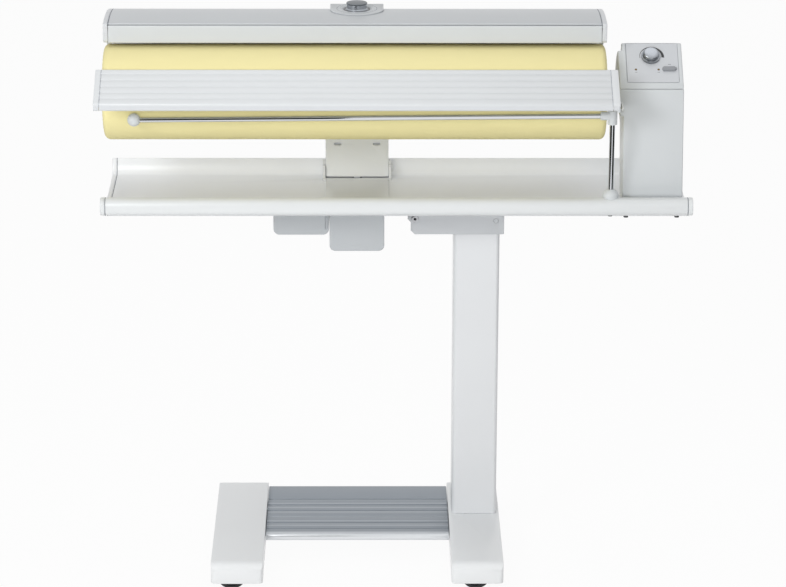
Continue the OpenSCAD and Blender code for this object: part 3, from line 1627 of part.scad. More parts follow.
module rail_fittings() {
    color("white") home() {
        difference() {
            union() {
                translate([post_x, post_y, rail_z - elbow_h*elbow_share])
                    cylinder(r = elbow_r, h = elbow_h);
                rail_line() cylinder(r = elbow_r - elbow_step, h = elbow_l);
            }
            translate([post_x, post_y, 0]) cylinder(r = rail_r + fit_gap,
                h = rail_z - rail_r - tube_gap + fit_gap);
            rail_line() translate([0, 0, rail_r + tube_gap - fit_gap])
                cylinder(r = rail_r + fit_gap, h = rail_len);
        }
        difference() {
            rail_line() translate([0, 0, rail_len]) sphere(ball_r);
            rail_line() translate([0, 0, rail_r]) cylinder(r = rail_r + fit_gap,
                h = rail_len - rail_r + fit_gap);
        }
    }
}

// Cord inlet in the table's floor, under the console
module cord_gland() {
    color("black") home() translate([gland_x, gland_y, 0]) difference() {
        union() {
            translate([0, 0, table_under - 2*table_t]) cylinder(r = gland_flange, h = 2*table_t);
            translate([0, 0, table_under - gland_h]) cylinder(r = gland_r,
                h = gland_h + table_t + frame_base_t);
        }
        translate([0, 0, table_under - 2*gland_h]) cylinder(r = gland_r/2, h = 4*gland_h);
    }
}

foot_left();
foot_right();
cross_beam();
column();
hinge_bracket();
fold_pin();
pedal_pins();
pedal_springs();
pedal_switch();
stand_bolts();
castor_yoke_fl();
castor_wheels_fl();
castor_yoke_fr();
castor_wheels_fr();
castor_yoke_rl();
castor_wheels_rl();
castor_yoke_rr();
castor_wheels_rr();
fold_latch();
pedal();
table_tray();
table_end_caps();
hinge_leaf();
table_screws();
drive_housing();
power_unit();
shoe_gearmotor();
arm_base();
console_frame();
console_shell();
console_head();
control_panel();
indicator_lenses();
control_board();
roller_motor();
roller_bearings();
feed_board_bracket();
rail_socket();
cord_gland();
motor_pinion();
roller_gear();
roller_shaft();
roller_drum();
roller_padding();
roller_cloth();
shoe_cam();
support_arm();
ironing_shoe();
heating_elements();
shoe_cover();
shoe_end_caps();
knob_plate();
finger_guard();
pressure_knob();
feed_board();
feed_board_caps();
rail_tubes();
rail_fittings();
temperature_dial();
power_button();
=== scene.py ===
# %% [markdown]
# # A rotary ironer, dressed in cells
# The machine arrives as plain solids. Each cell below takes one of its pieces, says what it is
# on the real machine, and gives it its edges, its small parts and its finish.

# %% Open the frame
import bpy
import json
import math
from mathutils import Matrix, Vector

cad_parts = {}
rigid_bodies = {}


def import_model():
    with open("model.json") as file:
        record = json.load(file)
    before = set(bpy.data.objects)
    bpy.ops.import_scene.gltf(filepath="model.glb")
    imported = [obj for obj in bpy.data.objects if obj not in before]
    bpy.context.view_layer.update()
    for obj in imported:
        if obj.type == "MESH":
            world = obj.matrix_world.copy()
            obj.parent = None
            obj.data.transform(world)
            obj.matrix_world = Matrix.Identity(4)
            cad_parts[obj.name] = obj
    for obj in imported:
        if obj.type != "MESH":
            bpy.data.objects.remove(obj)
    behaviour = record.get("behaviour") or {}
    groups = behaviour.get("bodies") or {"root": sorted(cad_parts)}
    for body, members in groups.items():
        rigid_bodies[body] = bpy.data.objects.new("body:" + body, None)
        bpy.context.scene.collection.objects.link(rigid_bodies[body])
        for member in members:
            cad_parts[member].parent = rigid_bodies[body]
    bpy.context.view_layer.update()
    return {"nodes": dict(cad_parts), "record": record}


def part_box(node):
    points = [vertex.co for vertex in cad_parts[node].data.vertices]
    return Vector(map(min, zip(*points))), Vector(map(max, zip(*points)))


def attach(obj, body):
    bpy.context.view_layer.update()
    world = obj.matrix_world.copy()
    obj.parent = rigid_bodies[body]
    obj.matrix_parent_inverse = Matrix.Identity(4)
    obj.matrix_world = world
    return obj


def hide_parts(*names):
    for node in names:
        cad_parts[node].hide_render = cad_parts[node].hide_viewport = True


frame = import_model()
BODY = {n: b for b, ns in frame["record"]["behaviour"]["bodies"].items() for n in ns}

# %% [markdown]
# ## Tools for the hands
# An operator works on whatever is selected, so each helper first clears the selection. Lengths
# are written in millimetres, as on a drawing, and turned into metres in one place.

# %% Selecting
MM = 0.001


def clear_selection():
    if bpy.context.object and bpy.context.object.mode != "OBJECT":
        bpy.ops.object.mode_set(mode="OBJECT")
    bpy.ops.object.select_all(action="DESELECT")


def take(piece):
    clear_selection()
    piece.select_set(True)
    bpy.context.view_layer.objects.active = piece


clear_selection()
print("selected:", len(bpy.context.selected_objects))

# %% [markdown]
# ## Edges
# The solids have knife edges, and no real moulding or sheet has. The edges could be rounded in
# the drawing, but that makes the solids heavy. So a copy of the solid is merged, its flat faces
# are joined, and a Bevel modifier rounds the edges that are sharper than an angle.

# %% Round the edges of a copy
WELD = 0.004 * MM
FLAT_WITHIN = math.radians(0.4)
SMOOTH_WITHIN = math.radians(32)


def rounded_copy(node, width, segments=3, angle=40):
    """width is in millimetres, and 0 leaves the edges as they are."""
    take(frame["nodes"][node])
    bpy.ops.object.duplicate()
    piece = bpy.context.object
    bpy.ops.object.parent_clear(type="CLEAR_KEEP_TRANSFORM")
    piece.name = node + "_skin"
    piece.data.materials.clear()
    bpy.ops.object.mode_set(mode="EDIT")
    bpy.ops.mesh.select_all(action="SELECT")
    bpy.ops.mesh.remove_doubles(threshold=WELD)
    bpy.ops.mesh.dissolve_limited(angle_limit=FLAT_WITHIN)
    bpy.ops.object.mode_set(mode="OBJECT")
    if width:
        bevel = piece.modifiers.new("edges", "BEVEL")
        bevel.limit_method = "ANGLE"
        bevel.angle_limit = math.radians(angle)
        bevel.width = width * MM
        bevel.segments = segments
        bevel.use_clamp_overlap = False
        bevel.miter_outer = "MITER_ARC"
        bpy.ops.object.modifier_apply(modifier=bevel.name)
    bpy.ops.object.shade_smooth_by_angle(angle=SMOOTH_WITHIN)
    return piece


print("edges within", round(math.degrees(SMOOTH_WITHIN)), "degrees are shaded smooth")

# %% [markdown]
# ## Finish and body
# On the machine each piece is fixed to something that moves or stands. So each piece here takes
# its finish, rides on the body of its solid, and mostly stands in the solid's place. A solid
# that is hidden inside the machine keeps its own mesh and is only painted.


# %% Give a piece its finish and its body
def settle(piece, node, finish, keep_node=False):
    piece.data.materials.clear()
    piece.data.materials.append(finish)
    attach(piece, BODY[node])
    if not keep_node:
        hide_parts(node)
    return piece


def dress(nodes, finish, width=0.8, segments=3, angle=40):
    for node in nodes:
        piece = settle(rounded_copy(node, width, segments, angle), node, finish)
        print(node, len(piece.data.polygons), "faces")


def paint(nodes, finish):
    for node in nodes:
        piece = frame["nodes"][node]
        piece.data.materials.clear()
        piece.data.materials.append(finish)
        take(piece)
        bpy.ops.object.shade_smooth_by_angle(angle=SMOOTH_WITHIN)
    print("painted:", ", ".join(nodes))


# %% [markdown]
# ## Turned pieces
# A knob, a dial or a roller is round about one line. It could start as a cylinder, but a lathe
# gives a truer outline: one vertex is extruded from point to point along half of the outline,
# and the Spin operator sweeps it round.

# %% Turn an outline
UPRIGHT = (0, 0, 0)
LYING_ALONG_X = (0, math.pi / 2, 0)
SPIN_WELD = 0.002 * MM


def turned(name, points, centre, tilt=UPRIGHT, steps=96, closed=False):
    """points are (distance from the axis, distance along it) in millimetres."""
    clear_selection()
    bpy.ops.mesh.primitive_plane_add(size=MM, location=(0, 0, 0))
    piece = bpy.context.object
    piece.name = name
    bpy.ops.object.mode_set(mode="EDIT")
    bpy.ops.mesh.select_mode(type="VERT")
    bpy.ops.mesh.select_all(action="SELECT")
    bpy.ops.mesh.merge(type="CENTER")
    bpy.ops.mesh.select_all(action="SELECT")
    r0, z0 = points[0]
    bpy.ops.transform.translate(value=(r0 * MM, 0, z0 * MM))
    for r, z in points[1:]:
        step = ((r - r0) * MM, 0, (z - z0) * MM)
        bpy.ops.mesh.extrude_region_move(TRANSFORM_OT_translate={"value": step})
        r0, z0 = r, z
    if closed:
        bpy.ops.object.mode_set(mode="OBJECT")
        for v in piece.data.vertices:
            v.select = v.index in (0, len(points) - 1)
        bpy.ops.object.mode_set(mode="EDIT")
        bpy.ops.mesh.edge_face_add()
    bpy.ops.mesh.select_all(action="SELECT")
    bpy.ops.mesh.spin(steps=steps, angle=2 * math.pi, center=(0, 0, 0), axis=(0, 0, 1))
    bpy.ops.mesh.select_all(action="SELECT")
    bpy.ops.mesh.remove_doubles(threshold=SPIN_WELD)
    bpy.ops.mesh.normals_make_consistent(inside=False)
    bpy.ops.object.mode_set(mode="OBJECT")
    piece.rotation_euler = tilt
    piece.location = centre
    bpy.ops.object.transform_apply(location=True, rotation=True, scale=True)
    bpy.ops.object.shade_smooth_by_angle(angle=SMOOTH_WITHIN)
    print(name, len(piece.data.polygons), "faces")
    return piece


def arc_points(r, z, radius, start, end, count):
    turns = [math.radians(start + (end - start) * i / count) for i in range(count + 1)]
    return [(r + radius * math.cos(t), z + radius * math.sin(t)) for t in turns]


# %% [markdown]
# ## Shader sums
# A finish varies over its surface, and the variation is a sum of noises and masks. The nodes
# could be laid by hand, one by one. This class wraps one socket instead, and adding or
# multiplying two of them adds the Math node that does it.


# %% A socket that can be reckoned with
class Wire:
    def __init__(self, finish, socket):
        self.finish = finish
        self.socket = socket

    def __add__(self, other):
        return self.finish.maths("ADD", self, other)

    def __sub__(self, other):
        return self.finish.maths("SUBTRACT", self, other)

    def __rsub__(self, other):
        return self.finish.maths("SUBTRACT", other, self)

    def __mul__(self, other):
        return self.finish.maths("MULTIPLY", self, other)

    def __pow__(self, other):
        return self.finish.maths("POWER", self, other)

    def __gt__(self, other):
        return self.finish.maths("GREATER_THAN", self, other)

    def __lt__(self, other):
        return self.finish.maths("LESS_THAN", self, other)

    __radd__ = __add__
    __rmul__ = __mul__


# %% [markdown]
# ## One finish
# Every finish starts from the Principled shader. What is the same all over is set on the
# shader's own socket, and what varies is plugged into it. Patterns read Object coordinates, so
# they have real sizes and stay where they are when a piece moves.


# %% The shader of a finish and what feeds it
class Finish:
    def __init__(self, name, colour, roughness=0.5, metallic=0.0, **plain):
        self.material = bpy.data.materials.new(name)
        self.material.use_nodes = True
        self.tree = self.material.node_tree
        self.shader = self.tree.nodes["Principled BSDF"]
        self.feed("Base Color", (*colour, 1.0))
        self.feed("Roughness", roughness)
        self.feed("Metallic", metallic)
        for key, value in plain.items():
            self.feed(key.replace("_", " "), value)

    def plug(self, socket, value):
        if isinstance(value, Wire):
            self.tree.links.new(value.socket, socket)
        else:
            socket.default_value = value

    def feed(self, name, value):
        self.plug(self.shader.inputs[name], value)

    def node(self, kind, settings=None, sockets=None, out=0):
        made = self.tree.nodes.new("ShaderNode" + kind)
        for key, value in (settings or {}).items():
            setattr(made, key, value)
        for key, value in (sockets or {}).items():
            self.plug(made.inputs[key], value)
        return Wire(self, made.outputs[out])

    def maths(self, operation, *values):
        return self.node("Math", {"operation": operation}, dict(enumerate(values)))

    def place(self, scale=(1, 1, 1), centre=(0, 0, 0), turn=(0, 0, 0)):
        where = self.node("TexCoord", out="Object")
        moved = tuple(-c for c in centre)
        shift = self.node("Mapping", None, {"Vector": where, "Location": moved})
        return self.node("Mapping", None, {"Vector": shift, "Rotation": turn, "Scale": scale})

    def noise(self, size, detail=2.0, stretch=(1, 1, 1)):
        """A noise whose lumps are about size millimetres across, from 0 to 1."""
        return self.node("TexNoise", None, {"Vector": self.place(scale=stretch),
                                            "Scale": 1 / (size * MM), "Detail": detail})

    def split(self, vector):
        parts = self.tree.nodes.new("ShaderNodeSeparateXYZ")
        self.tree.links.new(vector.socket, parts.inputs[0])
        return [Wire(self, s) for s in parts.outputs]

    def blend(self, mask, first, second):
        def rgba(colour):
            return colour if isinstance(colour, Wire) else (*colour, 1.0)
        made = self.tree.nodes.new("ShaderNodeMix")
        made.data_type = "RGBA"
        self.plug(made.inputs["Factor"], mask)
        self.plug(made.inputs[6], rgba(first))
        self.plug(made.inputs[7], rgba(second))
        return Wire(self, made.outputs[2])

    def bump(self, height, depth):
        """height goes from 0 to 1, and stands for depth millimetres."""
        self.feed("Normal", self.node("Bump", None, {"Height": height, "Strength": 1.0,
                                                     "Distance": depth * MM}))


# %% [markdown]
# ## Colours
# A paint card gives a colour as a screen shows it, from 0 to 255, and a shader wants it linear.


# %% Reading a colour
def shade(red, green, blue):
    def linear(c):
        c = c / 255
        return c / 12.92 if c <= 0.04045 else ((c + 0.055) / 1.055) ** 2.4
    return (linear(red), linear(green), linear(blue))


def darker(colour, share):
    return tuple(c * share for c in colour)


print("middle grey:", round(shade(188, 188, 188)[0], 3))

# %% [markdown]
# ## Enamel
# The stand is stove-enamelled steel. Enamel runs a little before it sets, which leaves a faint
# orange peel a few millimetres wide under a clear gloss. A bump gives the peel, a low coat the
# gloss, and two wide noises the wiped and the dusty places.

# %% Enamel on the stand
PEEL, WIPED, CLOUD = 5.0, 45.0, 140.0


def enamel(name, colour, roughness=0.3):
    f = Finish(name, colour, roughness, Coat_Weight=0.25)
    f.feed("Base Color", f.blend(f.noise(CLOUD, 3.0), darker(colour, 0.965), colour))
    f.feed("Roughness", roughness + 0.05 * f.noise(WIPED, 3.0))
    f.bump(f.noise(PEEL, 1.0), 0.015)
    return f.material


WHITE_ENAMEL = enamel("white_enamel", shade(232, 234, 236))
# The feet and the arm take a paler copy of the stand's enamel, a painted highlight that lifts
# them where the lamps leave them dim.
LIT_WHITE_ENAMEL = enamel("lit_white_enamel", shade(245, 247, 248), 0.28)
PALE_ENAMEL = enamel("pale_enamel", shade(205, 208, 211), 0.38)
print("enamels:", WHITE_ENAMEL.name, LIT_WHITE_ENAMEL.name, PALE_ENAMEL.name)

# %% [markdown]
# ## Moulded plastic
# The casings are moulded, so their skin has a fine spark grain, and where hands rest it is a
# little smoother. A picture of the grain would repeat. A noise of half a millimetre doesn't, and
# it costs nothing to store.

# %% Moulded casings
SPARK, SMEAR, FADE = 0.6, 60.0, 110.0


def moulded(name, colour, roughness=0.4, grain=SPARK, depth=0.02):
    f = Finish(name, colour, roughness)
    f.feed("Base Color", f.blend(f.noise(FADE), darker(colour, 0.97), colour))
    f.feed("Roughness", roughness - 0.03 + 0.06 * f.noise(SMEAR, 4.0, stretch=(1, 1, 2)))
    f.bump(f.noise(grain), depth)
    return f.material


CASE_WHITE = moulded("case_white", shade(218, 222, 224), 0.36)
COVER_WHITE = moulded("cover_white", shade(206, 210, 213), 0.34)
CAP_WHITE = moulded("cap_white", shade(222, 225, 228), 0.36)
BOARD_WHITE = moulded("board_white", shade(229, 232, 234), 0.34)
PANEL_GREY = moulded("panel_grey", shade(212, 215, 219), 0.4, 0.5, 0.008)
BOX_GREY = moulded("box_grey", shade(194, 198, 201), 0.45, 0.9, 0.04)
BUTTON_GREY = moulded("button_grey", shade(150, 153, 158), 0.38)
MARK_BLACK = moulded("panel_print", (0.025, 0.026, 0.028), 0.5, 0.4, 0.004)
# This grey is also the painted shade in the groove of the knob plate.
PRINT_AND_SHADE_GREY = moulded("pale_print_and_shade", shade(120, 124, 130), 0.5, 0.4, 0.004)
print("casings:", CASE_WHITE.name, COVER_WHITE.name, CAP_WHITE.name, BOARD_WHITE.name)

# %% [markdown]
# ## White of the table
# The floor of the table and its rear rim are painted paler than the front rim, a painted light
# where the roller and the board shade them. Two materials would meet at a hard line, so one
# material fades between two whites by the distance behind the rim.

# %% Table finish
RIM_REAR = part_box("table_tray")[0][1] + 27 * MM
RIM_FADE = 1 / 60


def tray(name, rim, floor):
    f = Finish(name, rim, 0.3)
    y = f.split(f.place())[1]
    inside = f.maths("MINIMUM", 1.0, f.maths("MAXIMUM", 0.0, (y - RIM_REAR) * (1 / RIM_FADE)))
    # The paler floor colour is painted light, for the shade under the roller and the board.
    painted_light_floor = f.blend(f.noise(FADE), darker(floor, 0.975), floor)
    f.feed("Base Color", f.blend(inside, rim, painted_light_floor))
    f.feed("Roughness", 0.27 + 0.06 * f.noise(SMEAR, 4.0))
    f.bump(f.noise(SPARK), 0.02)
    return f.material


# The second white is the painted light on the floor of the table.
TRAY_WHITE = tray("tray_white", shade(232, 235, 236), shade(249, 251, 254))
print("the table's rim ends", round(RIM_REAR, 3), "m from the middle")

# %% [markdown]
# ## Metals
# Chromium on the rail is a mirror with faint finger marks. Sheet and castings keep a dull grain.
# A picture of brushed metal would stretch round the bends, so one noise gives the grain to both
# the roughness and the bump, and the two agree.

# %% Mirror and satin metals
FINGER_MARKS, TARNISH = 25.0, 40.0


def mirror_metal(name, colour, roughness):
    f = Finish(name, colour, roughness, 1.0)
    f.feed("Roughness", roughness + 0.10 * f.noise(FINGER_MARKS, 4.0) ** 3.0)
    return f.material


def satin_metal(name, colour, roughness=0.28, grain=1.2, stretch=(1, 1, 1)):
    f = Finish(name, colour, roughness, 1.0)
    lines = f.noise(grain, 3.0, stretch=stretch)
    f.feed("Base Color", f.blend(f.noise(TARNISH), darker(colour, 0.86), colour))
    f.feed("Roughness", roughness - 0.06 + 0.16 * lines)
    f.bump(lines, 0.015)
    return f.material


CHROME = mirror_metal("rail_chrome", (0.70, 0.72, 0.75), 0.04)
STEEL = satin_metal("bright_steel", (0.55, 0.56, 0.58))
ZINC = satin_metal("zinc_plate", (0.56, 0.57, 0.55), 0.34)
# This dark steel is also the painted shade in the recess round the knob.
DARK_STEEL_AND_SHADE = satin_metal("dark_steel_and_shade", (0.16, 0.165, 0.17), 0.4)
ALLOY = satin_metal("cast_alloy", (0.52, 0.53, 0.54), 0.42, 0.9)
SHOE_ALLOY = satin_metal("polished_shoe", (0.74, 0.75, 0.77), 0.16, 1.0, (0.05, 1, 1))
HEATER = satin_metal("heater_tube", (0.12, 0.10, 0.09), 0.5)
print("metals:", CHROME.name, STEEL.name, ZINC.name, ALLOY.name)

# %% [markdown]
# ## Turned metal
# A piece from the lathe keeps the rings that the tool left. They are the sine of the distance
# from the axis, so they need no picture and no unwrapping. On the dial the skirt outside the cap
# is a darker metal.

# %% Rings of the lathe
KNOB_METAL = (0.36, 0.38, 0.41)
NO_SKIRT = 99


def turned_metal(name, centre, tilt, roughness, pitch, cap_r=NO_SKIRT):
    """The axis goes through centre. Beyond cap_r millimetres from it the metal is darker."""
    f = Finish(name, KNOB_METAL, roughness, 1.0)
    x, y = f.split(f.place(centre=centre, turn=tilt))[:2]
    away = f.maths("SQRT", x * x + y * y)
    rings = f.maths("SINE", away * (2 * math.pi / (pitch * MM))) * 0.5 + 0.5
    skirt = (away > cap_r * MM) * 0.5
    f.feed("Base Color", f.blend(skirt, KNOB_METAL, darker(KNOB_METAL, 0.4)))
    f.feed("Roughness", roughness + 0.12 * rings)
    f.bump(rings, 0.02)
    return f.material


print("turned metal:", KNOB_METAL)

# %% [markdown]
# ## Rubber and nylon
# Rubber and nylon drink light and gather dust. Dust could be a second material over the first,
# but a mask does it in one. It is a noise that is squared, so that the dust lies in patches, and
# where it lies the surface is paler and duller.

# %% Dull finishes
DUST, PORES = 14.0, 0.8


def rubber(name, colour, roughness):
    f = Finish(name, colour, roughness)
    dust = f.noise(DUST, 5.0) ** 2.0
    f.feed("Base Color", f.blend(dust, colour, tuple(c * 1.8 + 0.01 for c in colour)))
    f.feed("Roughness", roughness - 0.1 + 0.25 * dust)
    f.bump(f.noise(PORES, 3.0), 0.05)
    return f.material


BLACK_NYLON = rubber("black_nylon", (0.018, 0.018, 0.020), 0.45)
TREAD = rubber("castor_tread", (0.022, 0.022, 0.024), 0.62)
GEAR_NYLON = rubber("gear_nylon", (0.06, 0.062, 0.066), 0.5)
GLAND = rubber("cord_seal", (0.02, 0.02, 0.02), 0.75)
FELT = rubber("felt", (0.62, 0.58, 0.48), 0.95)
SEAM_GREY = rubber("seam_grey", shade(118, 122, 130), 0.6)
SEAM_PALE = rubber("seam_pale", shade(176, 180, 186), 0.6)
print("dull finishes:", BLACK_NYLON.name, TREAD.name, GEAR_NYLON.name, FELT.name)

# %% [markdown]
# ## The stand
# Two hollow feet of folded sheet carry the column. The press draws their edges round, and a
# hinge with a cross pin joins the column to the table. All of it is solid and right in shape, so
# a copy with rounded edges is enough. A wider bevel would tear where two edges lie close.

# %% Feet, column and hinge
# The feet wear the paler copy of the enamel, a painted highlight.
dress(["foot_left", "foot_right"], LIT_WHITE_ENAMEL, width=1.0)
dress(["column"], WHITE_ENAMEL, width=1.0)
dress(["cross_beam", "hinge_bracket", "hinge_leaf"], PALE_ENAMEL, width=1.2, angle=50)
dress(["fold_pin", "pedal_pins"], STEEL, width=0.6, segments=2, angle=50)
dress(["fold_latch"], PALE_ENAMEL, width=1.2)
dress(["pedal_switch"], BLACK_NYLON, width=0.4, segments=2, angle=34)
paint(["pedal_springs"], STEEL)

# %% [markdown]
# ## Bolts
# The bolts have hexagon heads. A spanner finds a chamfer on each head, and the shank has a lead.
# Each could be turned and cut anew, but one bevel on the copy gives both to all of them.

# %% Bolts of the stand
dress(["stand_bolts"], ZINC, width=0.5, segments=2)

# %% [markdown]
# ## Castors
# Each castor has two wheels on one axle. The fork between them is nylon, and the tread is softer
# and duller. A small domed cap closes each hub. A flattened sphere would be near it, but a
# turned outline also gives the cap its straight rim.

# %% Castors with hub caps
CORNERS = ["fl", "fr", "rl", "rr"]
HUB = [(0.0, 1.6), (3.2, 1.5), (6.2, 0.9), (7.6, 0.0), (7.6, -1.2), (0.0, -1.2)]
QUARTER_TURN = math.pi / 2


def centre_of(node):
    low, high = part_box(node)
    return (Vector(low) + Vector(high)) / 2


dress(["castor_yoke_" + c for c in CORNERS], BLACK_NYLON, width=0.6, segments=2, angle=45)
dress(["castor_wheels_" + c for c in CORNERS], TREAD, width=0.5, segments=2)
for c in CORNERS:
    wheels = "castor_wheels_" + c
    low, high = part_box(wheels)
    hub = centre_of(wheels)
    for side, way, y in (("front", -1, low[1]), ("rear", 1, high[1])):
        cap = turned("hub_cap_%s_%s" % (c, side), HUB, (hub.x, y, hub.z),
                     (-way * QUARTER_TURN, 0, 0), steps=24)
        settle(cap, wheels, BLACK_NYLON, keep_node=True)

# %% [markdown]
# ## Pedal
# The tread is a ribbed aluminium section, so it is a satin metal that is drawn along its length.
# A mask that reads the distance from the round front edge makes it paler and smoother. The
# smoothness is the polish of shoes, and the paler colour is a painted highlight along that edge.
# The tops of the ribs are painted paler too, a painted highlight. The plain strip behind keeps
# its grain.

# %% Pedal metal
EDGE_WEAR_AND_HIGHLIGHT, DRAWN_LINES = 13.0, 1.4
RIB_PITCH, RIB_TOP = 20.0, 0.80
RIBS_FROM, RIBS_TO = 20, 158


def pedal_metal(name, front):
    colour = shade(150, 157, 165)
    f = Finish(name, colour, 0.4, 0.5)
    y = f.split(f.place(centre=(0, front, 0)))[1]
    wear_and_highlight = f.maths("MINIMUM", y * (1 / (EDGE_WEAR_AND_HIGHLIGHT * MM)), 1.0)
    phase = f.maths("FRACT", y * (1 / (RIB_PITCH * MM)))
    rib = (phase > RIB_TOP) * (y > RIBS_FROM * MM) * (y < RIBS_TO * MM)
    grain = f.noise(DRAWN_LINES, stretch=(0.02, 1, 1))
    metal = f.blend(grain, darker(colour, 0.94), colour)
    # The tops of the ribs are painted paler, a painted highlight.
    ribbed = f.blend(rib * 0.7, metal, shade(186, 191, 197))
    # The band along the front edge is painted paler, a painted highlight. Its smoothness below is
    # polish.
    f.feed("Base Color", f.blend(wear_and_highlight, shade(232, 235, 238), ribbed))
    f.feed("Roughness", 0.28 + 0.14 * wear_and_highlight)
    return f.material


pedal_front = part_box("pedal")[0][1]
dress(["pedal"], pedal_metal("pedal_grip", pedal_front), width=0.5, angle=30)

# %% [markdown]
# ## Joints at the ends
# The table, the cover and the board are long profiles whose ends are closed by caps, and the
# joint shows as a thin dark line. A drawn line would vanish from the side. So a slice is cut
# from a copy of the profile by two Bisect operators, swollen by a hair, and made dark.


# %% Dark joints at the ends of a long piece
def seams(node, finish=SEAM_GREY, width=0.9, lift=0.12):
    low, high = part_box(node)
    for side, x in (("left", low[0] + width * MM), ("right", high[0] - width * MM)):
        piece = rounded_copy(node, 0)
        piece.name = "%s_seam_%s" % (node, side)
        bpy.ops.object.mode_set(mode="EDIT")
        for shift, inner in ((-width / 2, True), (width / 2, False)):
            bpy.ops.mesh.select_all(action="SELECT")
            bpy.ops.mesh.bisect(plane_co=(x + shift * MM, 0, 0), plane_no=(1, 0, 0),
                                use_fill=True, clear_inner=inner, clear_outer=not inner)
        bpy.ops.mesh.select_all(action="SELECT")
        bpy.ops.mesh.normals_make_consistent(inside=False)
        bpy.ops.transform.shrink_fatten(value=lift * MM)
        bpy.ops.object.mode_set(mode="OBJECT")
        settle(piece, node, finish, keep_node=True)
    print("joints on", node)


# %% [markdown]
# ## Table
# The table is one long profile with a round front rim and a sloped floor. Under it hang the box
# of the shoe's drive and the power unit. Their shapes are right, so copies with rounded edges
# stand for them. The joints come first, while the solid is still there to be copied.

# %% Table and what hangs below it
seams("table_tray")
dress(["table_tray"], TRAY_WHITE, width=0.9, angle=30)
dress(["table_end_caps"], TRAY_WHITE, width=1.1)
dress(["table_screws"], DARK_STEEL_AND_SHADE, width=0.4, segments=2)
dress(["drive_housing", "power_unit"], BOX_GREY, width=1.4)
dress(["cord_gland"], GLAND)
paint(["shoe_gearmotor", "shoe_cam"], STEEL)

# %% [markdown]
# ## Console
# The casing is split below the sloped head. Rounding both halves turns the split into the soft
# line that the eye reads as a joint. Inside are the frame, the motor, the gears and the control
# board. Its tracks could be modelled as strips, but a brick pattern gives them without a face.

# %% Console casing and drive
TRACK_SCALE, TRACK_GAP = 160.0, 0.06


def board_green(name):
    varnish, copper = (0.02, 0.14, 0.06), (0.05, 0.26, 0.12)
    f = Finish(name, varnish, 0.35)
    tracks = f.node("TexBrick", {"offset": 0.3}, {"Vector": f.place(), "Scale": TRACK_SCALE,
                    "Mortar Size": TRACK_GAP, "Mortar Smooth": 0.1}, out=1)
    f.feed("Base Color", f.blend(tracks, varnish, copper))
    f.bump(tracks, 0.05)
    return f.material


dress(["console_shell", "console_head"], CASE_WHITE, width=2.0, segments=4)
paint(["control_panel"], PANEL_GREY)
dress(["console_frame"], ALLOY, segments=2, angle=50)
paint(["control_board"], board_green("circuit_board"))
paint(["roller_motor", "roller_bearings", "motor_pinion"], STEEL)
paint(["roller_gear"], GEAR_NYLON)

# %% [markdown]
# ## Cotton
# The roller wears woven cotton. The weave runs round and along the roller, so it reads the
# skin's own map rather than its place in space. Each thread shows only where it lies on top,
# which is what the larger of two products of sines says.

# %% Woven cotton
THREAD = 1.1
SLUB = 30.0


def cotton(name):
    colour = shade(255, 244, 182)
    f = Finish(name, colour, 0.85)
    along, around = f.split(f.node("UVMap", {"uv_map": "cloth"}))[:2]
    thread = 2 * math.pi / (THREAD * MM)
    warp = f.maths("SINE", along * thread) * 0.5 + 0.5
    weft = f.maths("SINE", around * thread) * 0.5 + 0.5
    weave = f.maths("MAXIMUM", warp * (1 - weft), weft * (1 - warp))
    slub = f.noise(SLUB, 4.0, stretch=(0.25, 1, 1))
    tone = f.blend(slub, darker(colour, 0.93), colour)
    f.feed("Base Color", f.blend(weave * 0.25, tone, darker(colour, 0.80)))
    f.feed("Roughness", 0.78 + 0.15 * weave)
    f.bump(weave * 0.6 + slub * 0.4, 0.12)
    return f.material


COTTON = cotton("roller_cotton")
print("a thread every", THREAD, "mm")

# %% [markdown]
# ## Cloth skin
# The cloth is drawn tight over felt and tied at the ends, with a hem round the hub. It can't
# hang or fold, so a simulation would leave it as it is. It is turned as a closed skin: out round
# one end, along the roller, in round the other, and back on the inside.

# %% Turn the cloth
low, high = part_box("roller_cloth")
ROLLER_Y, ROLLER_Z = (low[1] + high[1]) / 2, (low[2] + high[2]) / 2
LENGTH = (high[0] - low[0]) / MM
ROLLER_R, END_ROUND, CLOTH_T, HEM_R, TIE_R = 80.0, 10.0, 3.0, 34.0, 52.0
LENGTHWAYS, CORNER, INNER_CORNER = 24, 8, 5
corner_r, thin_round = ROLLER_R - END_ROUND, END_ROUND - CLOTH_T
outer = [(HEM_R, 0.0), (TIE_R, 0.0)] + arc_points(corner_r, END_ROUND, END_ROUND, -90, 0, CORNER)
outer += [(ROLLER_R, END_ROUND + (LENGTH - 2 * END_ROUND) * i / LENGTHWAYS)
          for i in range(1, LENGTHWAYS)]
outer += arc_points(corner_r, LENGTH - END_ROUND, END_ROUND, 0, 90, CORNER)
outer += [(TIE_R, LENGTH), (HEM_R, LENGTH)]
inner = [(HEM_R, LENGTH - CLOTH_T)]
inner += arc_points(corner_r, LENGTH - END_ROUND, thin_round, 90, 0, INNER_CORNER)
inner += arc_points(corner_r, END_ROUND, thin_round, 0, -90, INNER_CORNER) + [(HEM_R, CLOTH_T)]
cloth = turned("roller_cloth_skin", outer + inner, (low[0], ROLLER_Y, ROLLER_Z), LYING_ALONG_X,
               steps=180, closed=True)
print("roller", round(LENGTH), "mm long")

# %% [markdown]
# ## Puckers
# Where the string draws the cloth in, it puckers, and along the roller it is never quite even.
# Both are small moves of the vertices: a sine round the end, and two slow waves along the side.

